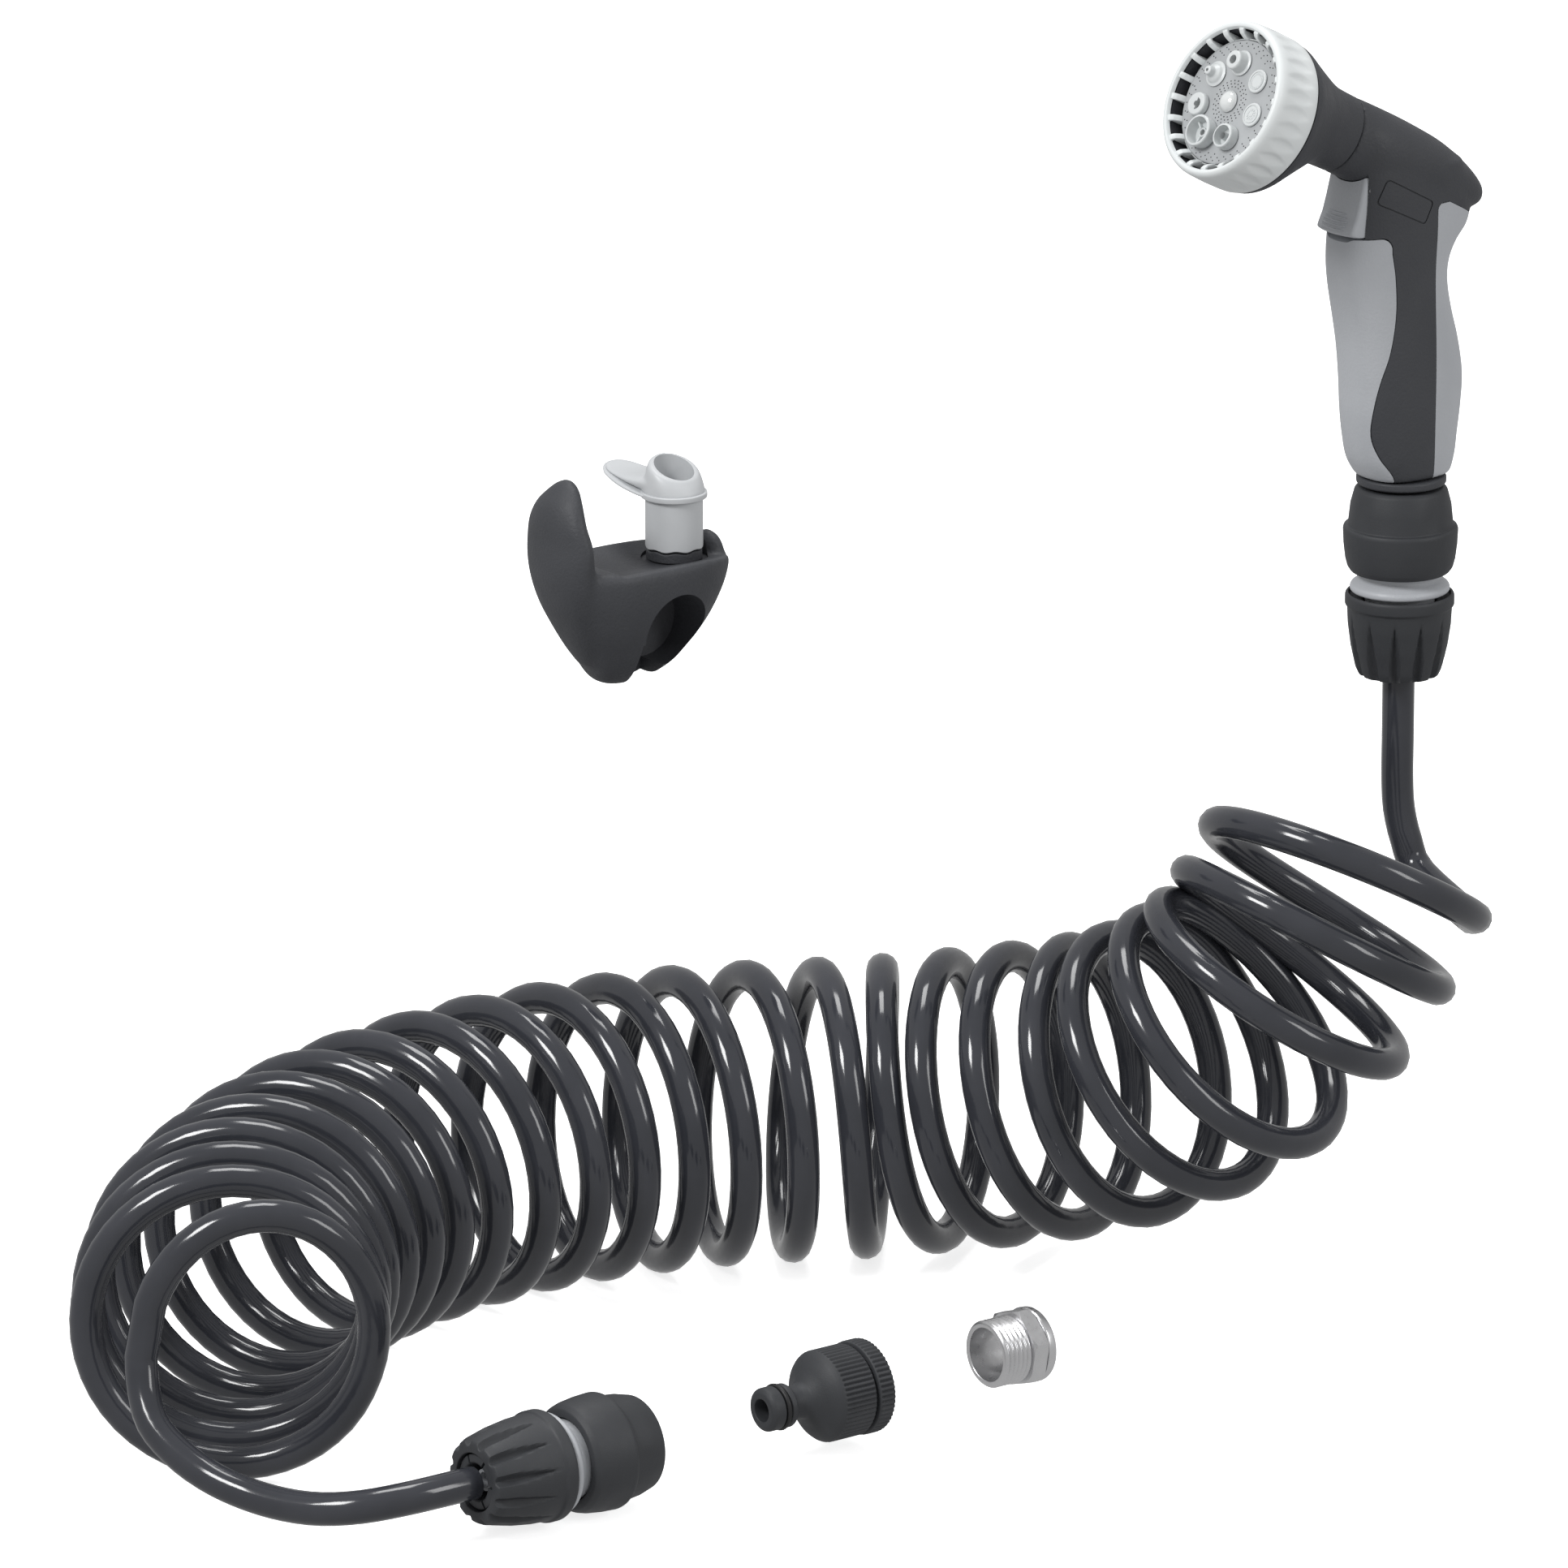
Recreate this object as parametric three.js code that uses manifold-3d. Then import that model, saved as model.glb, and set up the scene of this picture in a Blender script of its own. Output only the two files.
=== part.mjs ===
// Handheld bath sprayer: seven-pattern spray gun on a quick-connect spiral hose, with the tap-side
// connector, tap nipple, thread adapter and wall holder that belong to it. Millimetres, +Z up.
// The gun stands in the YZ plane, its nozzle points to -Y and up; the origin is the middle of the grip.
import * as THREE from "three";
import { mergeVertices } from "three/addons/utils/BufferGeometryUtils.js";
import Module from "manifold-3d";

const wasm = await Module();
wasm.setup();

// ---- driving dimensions ----
const GAP = 0.3; // running and moulding gap between touching pieces
const PITCH_DEG = 27.2; // barrel and head tilt above the horizontal
const INLET_Z = -48; // mouth plane of the quick connector under the grip
const BARREL_Z = 60.3; // height where the barrel axis crosses the inlet axis
const HEAD_S = 66.2; // rear plane of the spray ring, along the barrel axis
const HEAD_DROP = 5.6; // head axis below the barrel axis, so the top nozzle meets the outlet
const RING_R = 26.7;
const RING_LEN = 17.8;
const FACE_Z = 13.6; // spray face, from the ring's rear plane
const PATTERN_R = 13.0;
const PATTERN_COUNT = 7;
const PATTERN_TURN = -4;
const WINDOWS = 20;
const FLUTES = 30;
const BAND_REAR_Q = -2.7; // rear edge of the dark band
const SHELL_T = 3.0;
const COUPLING_LEN = 64;
const NUT_FLUTES = 12;
const HOSE_R = 5.3;
const COIL_R = 45.1; // hose centreline radius in the coil
const FLOOR_Z = -308.8; // what the coil and the tap end lie on
const TAP_AXIS = { x: 48.7, z: -290 }; // axis shared by the tap connector, nipple and adapter
const TAP_NUT_Y = -411; // hose end of the tap-side connector
const TAP_MALE_Y = -298.8;
const ADAPTER_Y = -208.8;
const HOLDER_AT = [-150, -183.5, -74.3]; // foot of the holder's latch post

const PHI = THREE.MathUtils.degToRad(PITCH_DEG);
const V = (x, y, z) => new THREE.Vector3(x, y, z);
const BARREL_DIR = V(0, -Math.cos(PHI), Math.sin(PHI));
const BARREL_UP = V(0, Math.sin(PHI), Math.cos(PHI));
const BARREL_0 = V(0, 0, BARREL_Z);

// ---- materials ----
const look = (color, roughness, metalness = 0) =>
  new THREE.MeshStandardMaterial({ color, roughness, metalness });
const DARK = () => look(0x3a3b3f, 0.62);
const LIGHT = () => look(0xaeb2b7, 0.5);
const PALE = () => look(0xdfe3e4, 0.42);
const FACE = () => look(0xb6babd, 0.45);
const HOSE = () => look(0x2c2d31, 0.22);
const RUBBER = () => look(0x17181a, 0.6);
const STEEL = () => look(0xb9bbbd, 0.3, 1);
const BRASS = () => look(0xb89a52, 0.32, 1);
const SILVER = () => look(0xd0d0d2, 0.22, 1);

// ---- solids ----
function solid(geometry) {
  const g = geometry.index ? geometry.toNonIndexed() : geometry.clone();
  g.deleteAttribute("normal");
  g.deleteAttribute("uv");
  const m = mergeVertices(g, 1e-4);
  const idx = m.index.array;
  const tri = [];
  for (let i = 0; i < idx.length; i += 3) {
    const [a, b, c] = [idx[i], idx[i + 1], idx[i + 2]];
    if (a !== b && b !== c && a !== c) tri.push(a, b, c);
  }
  const make = (t) =>
    new wasm.Manifold(
      new wasm.Mesh({
        numProp: 3,
        vertProperties: new Float32Array(m.attributes.position.array),
        triVerts: new Uint32Array(t),
      }),
    );
  let s = make(tri);
  if (s.volume() < 0) {
    for (let i = 0; i < tri.length; i += 3) [tri[i + 1], tri[i + 2]] = [tri[i + 2], tri[i + 1]];
    s = make(tri);
  }
  return s;
}

function geometryOf(s) {
  const m = s.getMesh();
  const n = m.numProp;
  const v = new Float32Array(m.numVert * 3);
  for (let i = 0; i < m.numVert; i++) v.set(m.vertProperties.subarray(i * n, i * n + 3), i * 3);
  const g = new THREE.BufferGeometry();
  g.setAttribute("position", new THREE.BufferAttribute(v, 3));
  g.setIndex(new THREE.BufferAttribute(new Uint32Array(m.triVerts), 1));
  const flat = g.toNonIndexed();
  flat.computeVertexNormals();
  return flat;
}

const group = new THREE.Group();
function add(name, s, material) {
  const mesh = new THREE.Mesh(geometryOf(s), material);
  mesh.name = name;
  group.add(mesh);
}

// A frame whose local +Z points along dir, with local X kept on the world X where it can be.
function frame(origin, dir) {
  const z = dir.clone().normalize();
  let x = V(1, 0, 0);
  if (Math.abs(z.x) > 0.9) x = V(0, 1, 0);
  const y = z.clone().cross(x).normalize();
  x = y.clone().cross(z);
  return new THREE.Matrix4().makeBasis(x, y, z).setPosition(origin);
}
const at = (x, y, z) => new THREE.Matrix4().makeTranslation(x, y, z);
const spin = (deg) => new THREE.Matrix4().makeRotationZ(THREE.MathUtils.degToRad(deg));

// Turned solid: points are [radius, height], turned round local Z.
function turned(points, segments = 32, m = null) {
  const widest = Math.max(...points.map(([r]) => r));
  const enough = widest < 4 ? 12 : widest < 8 ? 14 : widest < 13 ? 18 : widest < 20 ? 20 : 30;
  const g = new THREE.LatheGeometry(
    points.map(([r, z]) => new THREE.Vector2(Math.max(r, 0), z)),
    Math.min(segments, enough),
  );
  g.rotateX(Math.PI / 2);
  if (m) g.applyMatrix4(m);
  return solid(g);
}
const closed = (points) => [...points, points[0]];
// Ring or tube with its wall given as one closed profile.
const ringed = (points, segments = 32, m = null) => turned(closed(points), segments, m);
const disc = (r, z0, z1, segments = 32, m = null) =>
  turned([[0, z0], [r, z0], [r, z1], [0, z1]], segments, m);
const washer = (r0, r1, z0, z1, segments = 32, m = null) =>
  ringed([[r0, z0], [r1, z0], [r1, z1], [r0, z1]], segments, m);

function box(cx, cy, cz, sx, sy, sz, m = null) {
  const g = new THREE.BoxGeometry(sx, sy, sz).translate(cx, cy, cz);
  if (m) g.applyMatrix4(m);
  return solid(g);
}

// Prism of a flat outline given in the gun's side view: [forward, height], across X from x0 to x1.
function sidePrism(outline, x0, x1) {
  const shape = new THREE.Shape(outline.map(([q, z]) => new THREE.Vector2(q, z)));
  const g = new THREE.ExtrudeGeometry(shape, { depth: x1 - x0, bevelEnabled: false, curveSegments: 6 });
  // shape x -> -Y (forward), shape y -> Z, depth -> X
  g.applyMatrix4(new THREE.Matrix4().makeBasis(V(0, -1, 0), V(0, 0, 1), V(-1, 0, 0)));
  g.translate(x1, 0, 0);
  return solid(g);
}

// Body through a row of equal-count rings, closed at both ends.
function loft(rings) {
  const n = rings[0].length;
  const pos = [];
  const tri = (a, b, c) => pos.push(a.x, a.y, a.z, b.x, b.y, b.z, c.x, c.y, c.z);
  for (let k = 0; k + 1 < rings.length; k++)
    for (let i = 0; i < n; i++) {
      const j = (i + 1) % n;
      tri(rings[k][i], rings[k][j], rings[k + 1][j]);
      tri(rings[k][i], rings[k + 1][j], rings[k + 1][i]);
    }
  const centre = (r) => r.reduce((s, p) => s.add(p), V(0, 0, 0)).divideScalar(n);
  const c0 = centre(rings[0]);
  const c1 = centre(rings.at(-1));
  for (let i = 0; i < n; i++) {
    const j = (i + 1) % n;
    tri(c0, rings[0][j], rings[0][i]);
    tri(c1, rings.at(-1)[i], rings.at(-1)[j]);
  }
  const g = new THREE.BufferGeometry();
  g.setAttribute("position", new THREE.BufferAttribute(new Float32Array(pos), 3));
  return solid(g);
}

// Rounded-oval ring of points: half sizes a, b and squareness p, in the plane of the matrix.
function oval(a, b, count, p, m) {
  const ring = [];
  for (let i = 0; i < count; i++) {
    const t = (i / count) * 2 * Math.PI;
    const c = Math.cos(t);
    const s = Math.sin(t);
    const x = a * Math.sign(c) * Math.abs(c) ** (2 / p);
    const y = b * Math.sign(s) * Math.abs(s) ** (2 / p);
    ring.push(V(x, y, 0).applyMatrix4(m));
  }
  return ring;
}

function tube(points, radius, sides, steps) {
  const path = new THREE.CatmullRomCurve3(points, false, "centripetal");
  const shape = new THREE.Shape();
  for (let i = 0; i < sides; i++) {
    const t = (i / sides) * 2 * Math.PI;
    const [x, y] = [radius * Math.cos(t), radius * Math.sin(t)];
    if (i) shape.lineTo(x, y);
    else shape.moveTo(x, y);
  }
  return solid(new THREE.ExtrudeGeometry(shape, { steps, bevelEnabled: false, extrudePath: path }));
}

const join = (...s) => s.reduce((a, b) => a.add(b));
const cut = (s, ...tools) => tools.reduce((a, b) => a.subtract(b), s);

// Coil spring of round wire, closed on itself at both ends.
function spring(radius, wire, turns, length, m, perTurn = 12) {
  const pts = [];
  const n = Math.round(turns * perTurn);
  for (let i = 0; i <= n; i++) {
    const t = (i / perTurn) * 2 * Math.PI;
    pts.push(V(radius * Math.cos(t), radius * Math.sin(t), (length * i) / n).applyMatrix4(m));
  }
  return tube(pts, wire, 5, n);
}

// Positions along the barrel: s forward of the inlet axis, u above the barrel axis.
const barrelPoint = (s, u = 0) =>
  BARREL_0.clone().addScaledVector(BARREL_DIR, s).addScaledVector(BARREL_UP, u);
const barrelFrame = (s, u = 0) => frame(barrelPoint(s, u), BARREL_DIR);
const HEAD = barrelFrame(HEAD_S, -HEAD_DROP);
const headAt = (x, y, z) => HEAD.clone().multiply(at(x, y, z));

// ---- gun body ----
// Grip outline by height above the inlet plane: [height, front, rear, half width].
const GRIP = [
  [4.9, 10.5, -11.5, 10.6],
  [7, 12.5, -13.2, 11.6],
  [11.5, 16.6, -15.8, 12.7],
  [17, 19.6, -17.8, 13.3],
  [28, 21.8, -19.8, 13.7],
  [38, 22.4, -20.3, 13.8],
  [50, 23.6, -18.2, 13.7],
  [60, 25.4, -15.4, 13.5],
  [70, 27.4, -13.6, 13.4],
  [77, 28.4, -14.4, 13.4],
  [83, 28.6, -17.6, 13.5],
  [88, 28.4, -22.0, 13.6],
  [98, 26.0, -22.0, 13.6],
  [110, 25.4, -18.0, 13.6],
];
function gripSolid(inset, lowest = 0, highest = 200) {
  const rows = GRIP.filter(([h]) => h >= lowest && h <= highest);
  return loft(
    rows.map(([h, front, rear, w]) => {
      const mid = (front + rear) / 2;
      const m = at(0, -mid, INLET_Z + h);
      return oval(w - inset, (front - rear) / 2 - inset, 18, h > 95 ? 3.4 : 2.7, m);
    }),
  );
}

// Barrel ovals: [along, half width, half height, centre above axis].
const BARREL = [
  [31.4, 10.6, 12.8, 0],
  [26, 11.2, 12.9, 0],
  [21.5, 12.8, 12.9, 0],
  [12, 13.7, 12.8, 0],
  [3, 13.9, 12.4, 0],
  [-6, 13.7, 11.7, 0],
  [-15, 12.6, 10.0, 0],
  [-23, 10.8, 7.6, 0],
  [-28.5, 8.4, 5.2, 0],
  [-31.6, 5.2, 2.8, 0],
  [-33, 2.0, 1.0, 0],
];
function barrelSolid() {
  return loft(BARREL.map(([s, w, h, u]) => oval(w, h, 18, 2.15, barrelFrame(s, u))));
}

// Side-view outlines, [forward, height].
const up = (h) => INLET_Z + h;
const frontRegion = (g) => [
  [60, up(4)],
  [10.2 + g, up(4)],
  [12.4 + g, up(8)],
  [16.6 + g, up(13.8)],
  [19.2 + g, up(21)],
  [19.5 + g, up(29)],
  [18 + g, up(40)],
  [15.4 + g, up(50)],
  [13.8 + g, up(63)],
  [14.3 + g, up(75)],
  [16.2 + g, up(85)],
  [19 + g, up(89) - g],
  [60, up(85) - g],
];
const REAR_TOP = (q) => BARREL_Z - 7.0 + q * Math.tan(PHI); // parting under the barrel's tail
const rearRegion = (g) => [
  [BAND_REAR_Q - g, up(3)],
  [-60, up(3)],
  [-60, REAR_TOP(-60) - g],
  [BAND_REAR_Q - 4 - g, REAR_TOP(BAND_REAR_Q - 4) - g],
  [BAND_REAR_Q - 1.2 - g, REAR_TOP(BAND_REAR_Q - 4) - 0.8 - g],
  [BAND_REAR_Q - g, REAR_TOP(BAND_REAR_Q - 4) - 3 - g],
];
const PIVOT = [21.6, up(104.6)]; // trigger hinge, side view
const TRIGGER_HALF_W = 9.2;
const PIN_HALF = 9.9;
const RATCHET_WAVE = 0.26; // low enough for the latch to turn over the ring
const VALVE_SEAT = 23.9; // rear face of the valve seat, along the barrel axis
const triggerPocket = [
  [60, up(83)],
  [24.4, up(87.9)],
  [19.2, up(88.4)],
  [11.8, up(94)],
  [12.8, up(107)],
  [16, up(109.5)],
  [26, up(112.5)],
  [60, up(112.5)],
];
const pivotFrame = (x) => frame(V(x, -PIVOT[0], PIVOT[1]), V(1, 0, 0));

function gunBody() {
  const outer = join(gripSolid(0), barrelSolid());
  const core = gripSolid(SHELL_T + GAP, 7, 88);
  let body = cut(
    outer,
    sidePrism(frontRegion(-GAP / 2), -30, 30),
    sidePrism(rearRegion(-GAP / 2), -30, 30),
  );
  body = join(body, core.subtract(sidePrism([[60, up(88.8)], [-60, up(78)], [-60, 200], [60, 200]], -30, 30)));
  return cut(
    body,
    sidePrism(triggerPocket, -TRIGGER_HALF_W - 0.35, TRIGGER_HALF_W + 0.35),
    disc(1.56, -PIN_HALF - 0.3, PIN_HALF + 0.3, 16, pivotFrame(0)), // blind holes for the trigger pin
    disc(6.2, -2, VALVE_SEAT, 24, barrelFrame(0)), // valve chamber
    disc(3.6, 0, 60, 24, barrelFrame(0)), // through the valve seat
    disc(6.2, VALVE_SEAT + 1.8, 60, 24, barrelFrame(0)), // ahead of the seat, open to the head
    disc(2.1, -13, 0, 24, barrelFrame(0)), // guide for the stem's tail
    disc(4.6, 0, BARREL_Z - INLET_Z + 2, 20, frame(V(0, 0, INLET_Z), V(0, 0, 1))), // water way
    box(0, -20.2, up(111.5), 5.4, 10.6, 9), // slot for the trigger's arm
  );
}
const frontShell = () =>
  gripSolid(0, 4.9, 110)
    .intersect(sidePrism(frontRegion(GAP / 2), -30, 30))
    .subtract(gripSolid(SHELL_T, 7, 88));
const rearInsert = () =>
  gripSolid(0, 4.9, 110)
    .intersect(sidePrism(rearRegion(GAP / 2), -30, 30))
    .subtract(gripSolid(SHELL_T, 7, 88))
    .subtract(barrelSolid());

function trigger() {
  const plate = [
    [22.0, up(90.2)],
    [29.6, up(89.4)],
    [30.6, up(90.2)],
    [29.0, up(95)],
    [27.2, up(101)],
    [25.8, up(106.4)],
    [24.4, up(108.2)],
    [14.6, up(105.2)],
    [14.4, up(101)],
    [19.8, up(97)],
    [21.6, up(93.6)],
  ];
  const blade = sidePrism(plate, -TRIGGER_HALF_W, TRIGGER_HALF_W);
  const inner = sidePrism(
    [[12, up(88)], [26.6, up(88)], [26.2, up(94)], [24.2, up(101)], [22.6, up(104.6)], [12, up(104)]],
    -TRIGGER_HALF_W + 2,
    TRIGGER_HALF_W - 2,
  );
  const arm = sidePrism(
    [[18.2, up(102.8)], [23.6, up(102.8)], [23.4, up(106.6)], [20.9, up(109.3)], [18.2, up(114.5)],
      [16.4, up(113.6)], [18.2, up(106.4)]],
    -2.2,
    2.2,
  );
  const ears = sidePrism(
    [[18.4, up(102.2)], [24.8, up(102.2)], [25.4, up(105.4)], [24.2, up(107.9)], [19.0, up(106.4)]],
    -TRIGGER_HALF_W,
    TRIGGER_HALF_W,
  );
  // every second rib of the finger pad stands proud of the blade
  const ribs = [0, 1, 2, 3, 4].map((i) =>
    tube(
      [V(-5.4 + i * 0.5, -29.35 + i * 0.42, up(91.9 + 1.25 * i)), V(0, -29.75 + i * 0.42, up(91.7 + 1.25 * i)),
        V(5.4 - i * 0.5, -29.35 + i * 0.42, up(91.9 + 1.25 * i))],
      0.42,
      6,
      6,
    ),
  );
  return cut(join(blade.subtract(inner), arm, ears, ...ribs), disc(1.56, -40, 40, 16, pivotFrame(0)));
}

function gunParts() {
  add("gun_body", gunBody(), DARK());
  add("front_grip_shell", frontShell(), LIGHT());
  add("rear_grip_insert", rearInsert(), LIGHT());
  add("trigger", trigger(), LIGHT());
  add("trigger_pin", disc(1.5, -PIN_HALF, PIN_HALF, 16, pivotFrame(0)), STEEL());
  const stem = turned(
    [[0, -12], [2.0, -12], [2.0, 19.6], [5.4, 19.7], [5.4, 21.3], [2.0, 21.5], [2.0, 27.3], [5.3, 27.4],
      [5.3, 28.4], [2.6, 28.6], [2.6, 30.2], [0, 30.2]],
    20,
    barrelFrame(0),
  );
  add("valve_stem", stem, BRASS());
  add("valve_seal", washer(2.2, 5.5, 26.0, 27.0, 20, barrelFrame(0)), RUBBER());
  add("valve_spring", spring(4.3, 0.5, 3, 5.0, barrelFrame(29.4), 9), STEEL());
}

// ---- spray head ----
function bell() {
  const sections = [
    [-34.5, HEAD_DROP, 10.6, 12.8],
    [-30, HEAD_DROP, 11.0, 12.9],
    [-25, HEAD_DROP, 12.0, 13.1],
    [-21, HEAD_DROP - 0.4, 13.6, 14.4],
    [-14, HEAD_DROP - 2.4, 18.2, 18.8],
    [-7, 1.3, 23.0, 23.2],
    [-2.6, 0.2, 25.9, 25.9],
    [-0.4, 0, 26.2, 26.2],
  ];
  const skin = loft(sections.map(([z, y, rx, ry]) => oval(rx, ry, 24, 2, headAt(0, y, z))));
  const hollow = loft(
    [[-19, HEAD_DROP - 1, 10, 10.6], [-13, HEAD_DROP - 2.8, 15.4, 16], [-6, 1.1, 21, 21.2], [-1.5, 0.1, 23.6, 23.6], [17, 0, 23.9, 23.9]]
      .map(([z, y, rx, ry]) => oval(rx, ry, 24, 2, headAt(0, y, z))),
  );
  const collar = disc(25.1, -1, 15.7, 24, HEAD);
  return cut(join(skin, collar), hollow, disc(5.2, -40, -10, 20, headAt(0, HEAD_DROP, 0)));
}

// Ring skin with shallow oval scoops round it: radius at an angle and height.
function scoopedRing() {
  const per = 2;
  const n = FLUTES * per;
  const rows = [
    [0.0, 26.1, 0],
    [2.8, RING_R + 0.05, 0],
    [8.6, RING_R + 0.1, 1],
    [14.4, RING_R, 0],
    [RING_LEN, 25.8, 0],
  ];
  const dip = [0, 1];
  const outer = loft(
    rows.map(([z, r, k]) => {
      const ring = [];
      for (let i = 0; i < n; i++) {
        const t = (i / n) * 2 * Math.PI;
        const rr = r - 0.75 * k * dip[i % per];
        ring.push(V(rr * Math.cos(t), rr * Math.sin(t), z).applyMatrix4(HEAD));
      }
      return ring;
    }),
  );
  const inner = turned([[0, -1], [25.4, -1], [25.4, 16.0], [23.6, 16.2], [23.9, RING_LEN - 0.5], [24.5, RING_LEN + 1], [0, RING_LEN + 1]], 24, HEAD);
  return outer.subtract(inner);
}

function sprayRing() {
  let s = scoopedRing();
  for (let i = 0; i < WINDOWS; i++) {
    const m = HEAD.clone().multiply(spin((360 / WINDOWS) * (i + 0.5)));
    const shape = new THREE.Shape([
      [21.2, 10.2], [23.2, 10.2], [23.2, 16.1], [24.2, 16.1], [24.2, 17.2], [22.6, 17.2], [21.2, 13.0],
    ].map(([x, y]) => new THREE.Vector2(x, y)));
    const g = new THREE.ExtrudeGeometry(shape, { depth: 2.0, bevelEnabled: false });
    g.translate(0, 0, -1.0);
    g.applyMatrix4(new THREE.Matrix4().makeBasis(V(1, 0, 0), V(0, 0, 1), V(0, -1, 0)));
    g.applyMatrix4(m);
    s = s.add(solid(g));
  }
  return join(s, washer(19.6, 21.9, 9.4, 10.9, 20, HEAD));
}

const patternAngle = (k) => PATTERN_TURN - (360 / PATTERN_COUNT) * k;
// Frame at nozzle k on the face: local Z out of the face. Angle 0 is the top, positive toward +X.
function patternFrame(k) {
  const a = THREE.MathUtils.degToRad(patternAngle(k));
  return headAt(PATTERN_R * Math.sin(a), PATTERN_R * Math.cos(a), FACE_Z);
}

function faceDisc() {
  let s = turned(
    [[0, 9.6], [19.2, 9.6], [19.2, 11.3], [21.1, 11.3], [21.1, FACE_Z - 0.4], [20.7, FACE_Z], [0, FACE_Z]],
    24,
    HEAD,
  );
  for (let k = 0; k < PATTERN_COUNT; k++) s = s.subtract(disc(2.2, -6, 1, 10, patternFrame(k)));
  return s.subtract(disc(1.7, 5, 20, 14, HEAD));
}

function nozzles() {
  const f = patternFrame;
  const bored = (outer, bore, k, segs = 16) =>
    turned([[0, -3], [1.9, -3], [1.9, GAP], ...outer], segs, f(k)).subtract(disc(bore, -5, 12, 10, f(k)));
  add("nozzle_jet", bored([[4.2, GAP], [4.2, 0.7], [3.4, 0.9], [3.1, 4.0], [2.7, 4.4], [0, 4.4]], 1.4, 0), PALE());
  add("nozzle_fine", bored([[4.2, GAP], [4.2, 0.7], [3.3, 0.9], [3.0, 1.9], [1.8, 2.3], [1.35, 4.4], [0, 4.4]], 0.5, 1), PALE());
  const fan = cut(
    turned([[0, -3], [1.9, -3], [1.9, GAP], [3.9, GAP], [3.8, 2.0], [3.5, 2.4], [0, 2.4]], 20, f(2)),
    box(0.5, 0, 1.6, 1.0, 3.6, 3, f(2)),
    disc(0.9, -5, 2, 12, f(2)),
  );
  add("nozzle_fan", fan, PALE());
  const cup = cut(
    turned([[0, -3], [1.9, -3], [1.9, GAP], [5.0, GAP], [5.3, 4.1], [4.9, 4.4], [0, 4.4]], 24, f(3)),
    turned([[0, 0.9], [4.2, 0.9], [4.5, 6], [0, 6]], 24, f(3)),
    disc(1.1, -5, 2, 12, f(3)),
  );
  const vanes = [0, 1, 2].map((i) => {
    const m = f(3).multiply(spin(120 * i + 20));
    return box(2.9, 0, 1.5, 3.0, 0.7, 1.4, m);
  });
  add("nozzle_cup", join(cup, ...vanes), PALE());
  const cone = cut(
    turned([[0, -3], [1.9, -3], [1.9, GAP], [4.1, GAP], [4.1, 3.4], [3.8, 3.7], [0, 3.7]], 24, f(4)),
    ringed([[1.9, 1.4], [3.2, 1.4], [3.4, 6], [1.9, 6]], 24, f(4)),
  );
  add("nozzle_cone", cone, PALE());
  add("nozzle_rosette", bored([[3.9, GAP], [3.9, 0.6], [3.6, 0.8], [0, 0.8]], 0.6, 5), PALE());
  add("nozzle_petals", bored([[3.9, GAP], [3.9, 0.6], [3.6, 0.8], [0, 0.8]], 0.6, 6), PALE());
}

function headParts() {
  add("head_bell", bell(), DARK());
  add("spray_ring", sprayRing(), PALE());
  add("face_disc", faceDisc(), FACE());
  nozzles();
  const z = FACE_Z;
  add(
    "centre_screw",
    turned([[0, 4.4], [1.4, 4.4], [1.4, z + GAP], [3.5, z + GAP], [3.5, z + 0.7], [2.7, z + 1.7], [1.4, z + 2.25], [0, z + 2.4]], 20, HEAD),
    PALE(),
  );
  const plate = cut(
    disc(23.5, 6.4, 8.6, 28, HEAD),
    disc(1.7, 0, 20, 14, HEAD),
    disc(3.6, 0, 20, 20, headAt(0, PATTERN_R, 0)),
    disc(1.6, 0, 20, 12, headAt(0, -PATTERN_R, 0)),
  );
  add("outlet_plate", plate, DARK());
  add("outlet_gasket", washer(2.6, 3.3, 6.6, 9.3, 20, headAt(0, PATTERN_R, 0)), RUBBER());
  const duct = cut(
    join(
      loft([oval(4.7, 4.7, 16, 2, headAt(0, HEAD_DROP, -30.8)), oval(4.7, 4.7, 16, 2, headAt(0, HEAD_DROP, -17))]),
      loft([oval(4.7, 4.7, 16, 2, headAt(0, HEAD_DROP, -17)), oval(4.7, 4.7, 16, 2, headAt(0, PATTERN_R, 6.1))]),
    ),
    loft([oval(3, 3, 12, 2, headAt(0, HEAD_DROP, -37)), oval(3, 3, 12, 2, headAt(0, HEAD_DROP, -17))]),
    loft([oval(3, 3, 12, 2, headAt(0, HEAD_DROP, -17.01)), oval(3, 3, 12, 2, headAt(0, PATTERN_R, 7))]),
  );
  add("outlet_duct", duct, DARK());
  add("detent_pin", turned([[0, 2.6], [1.3, 2.6], [1.3, 8.4], [0.7, 9.2], [0, 9.3]], 12, headAt(0, -PATTERN_R, 0)), STEEL());
}

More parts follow.
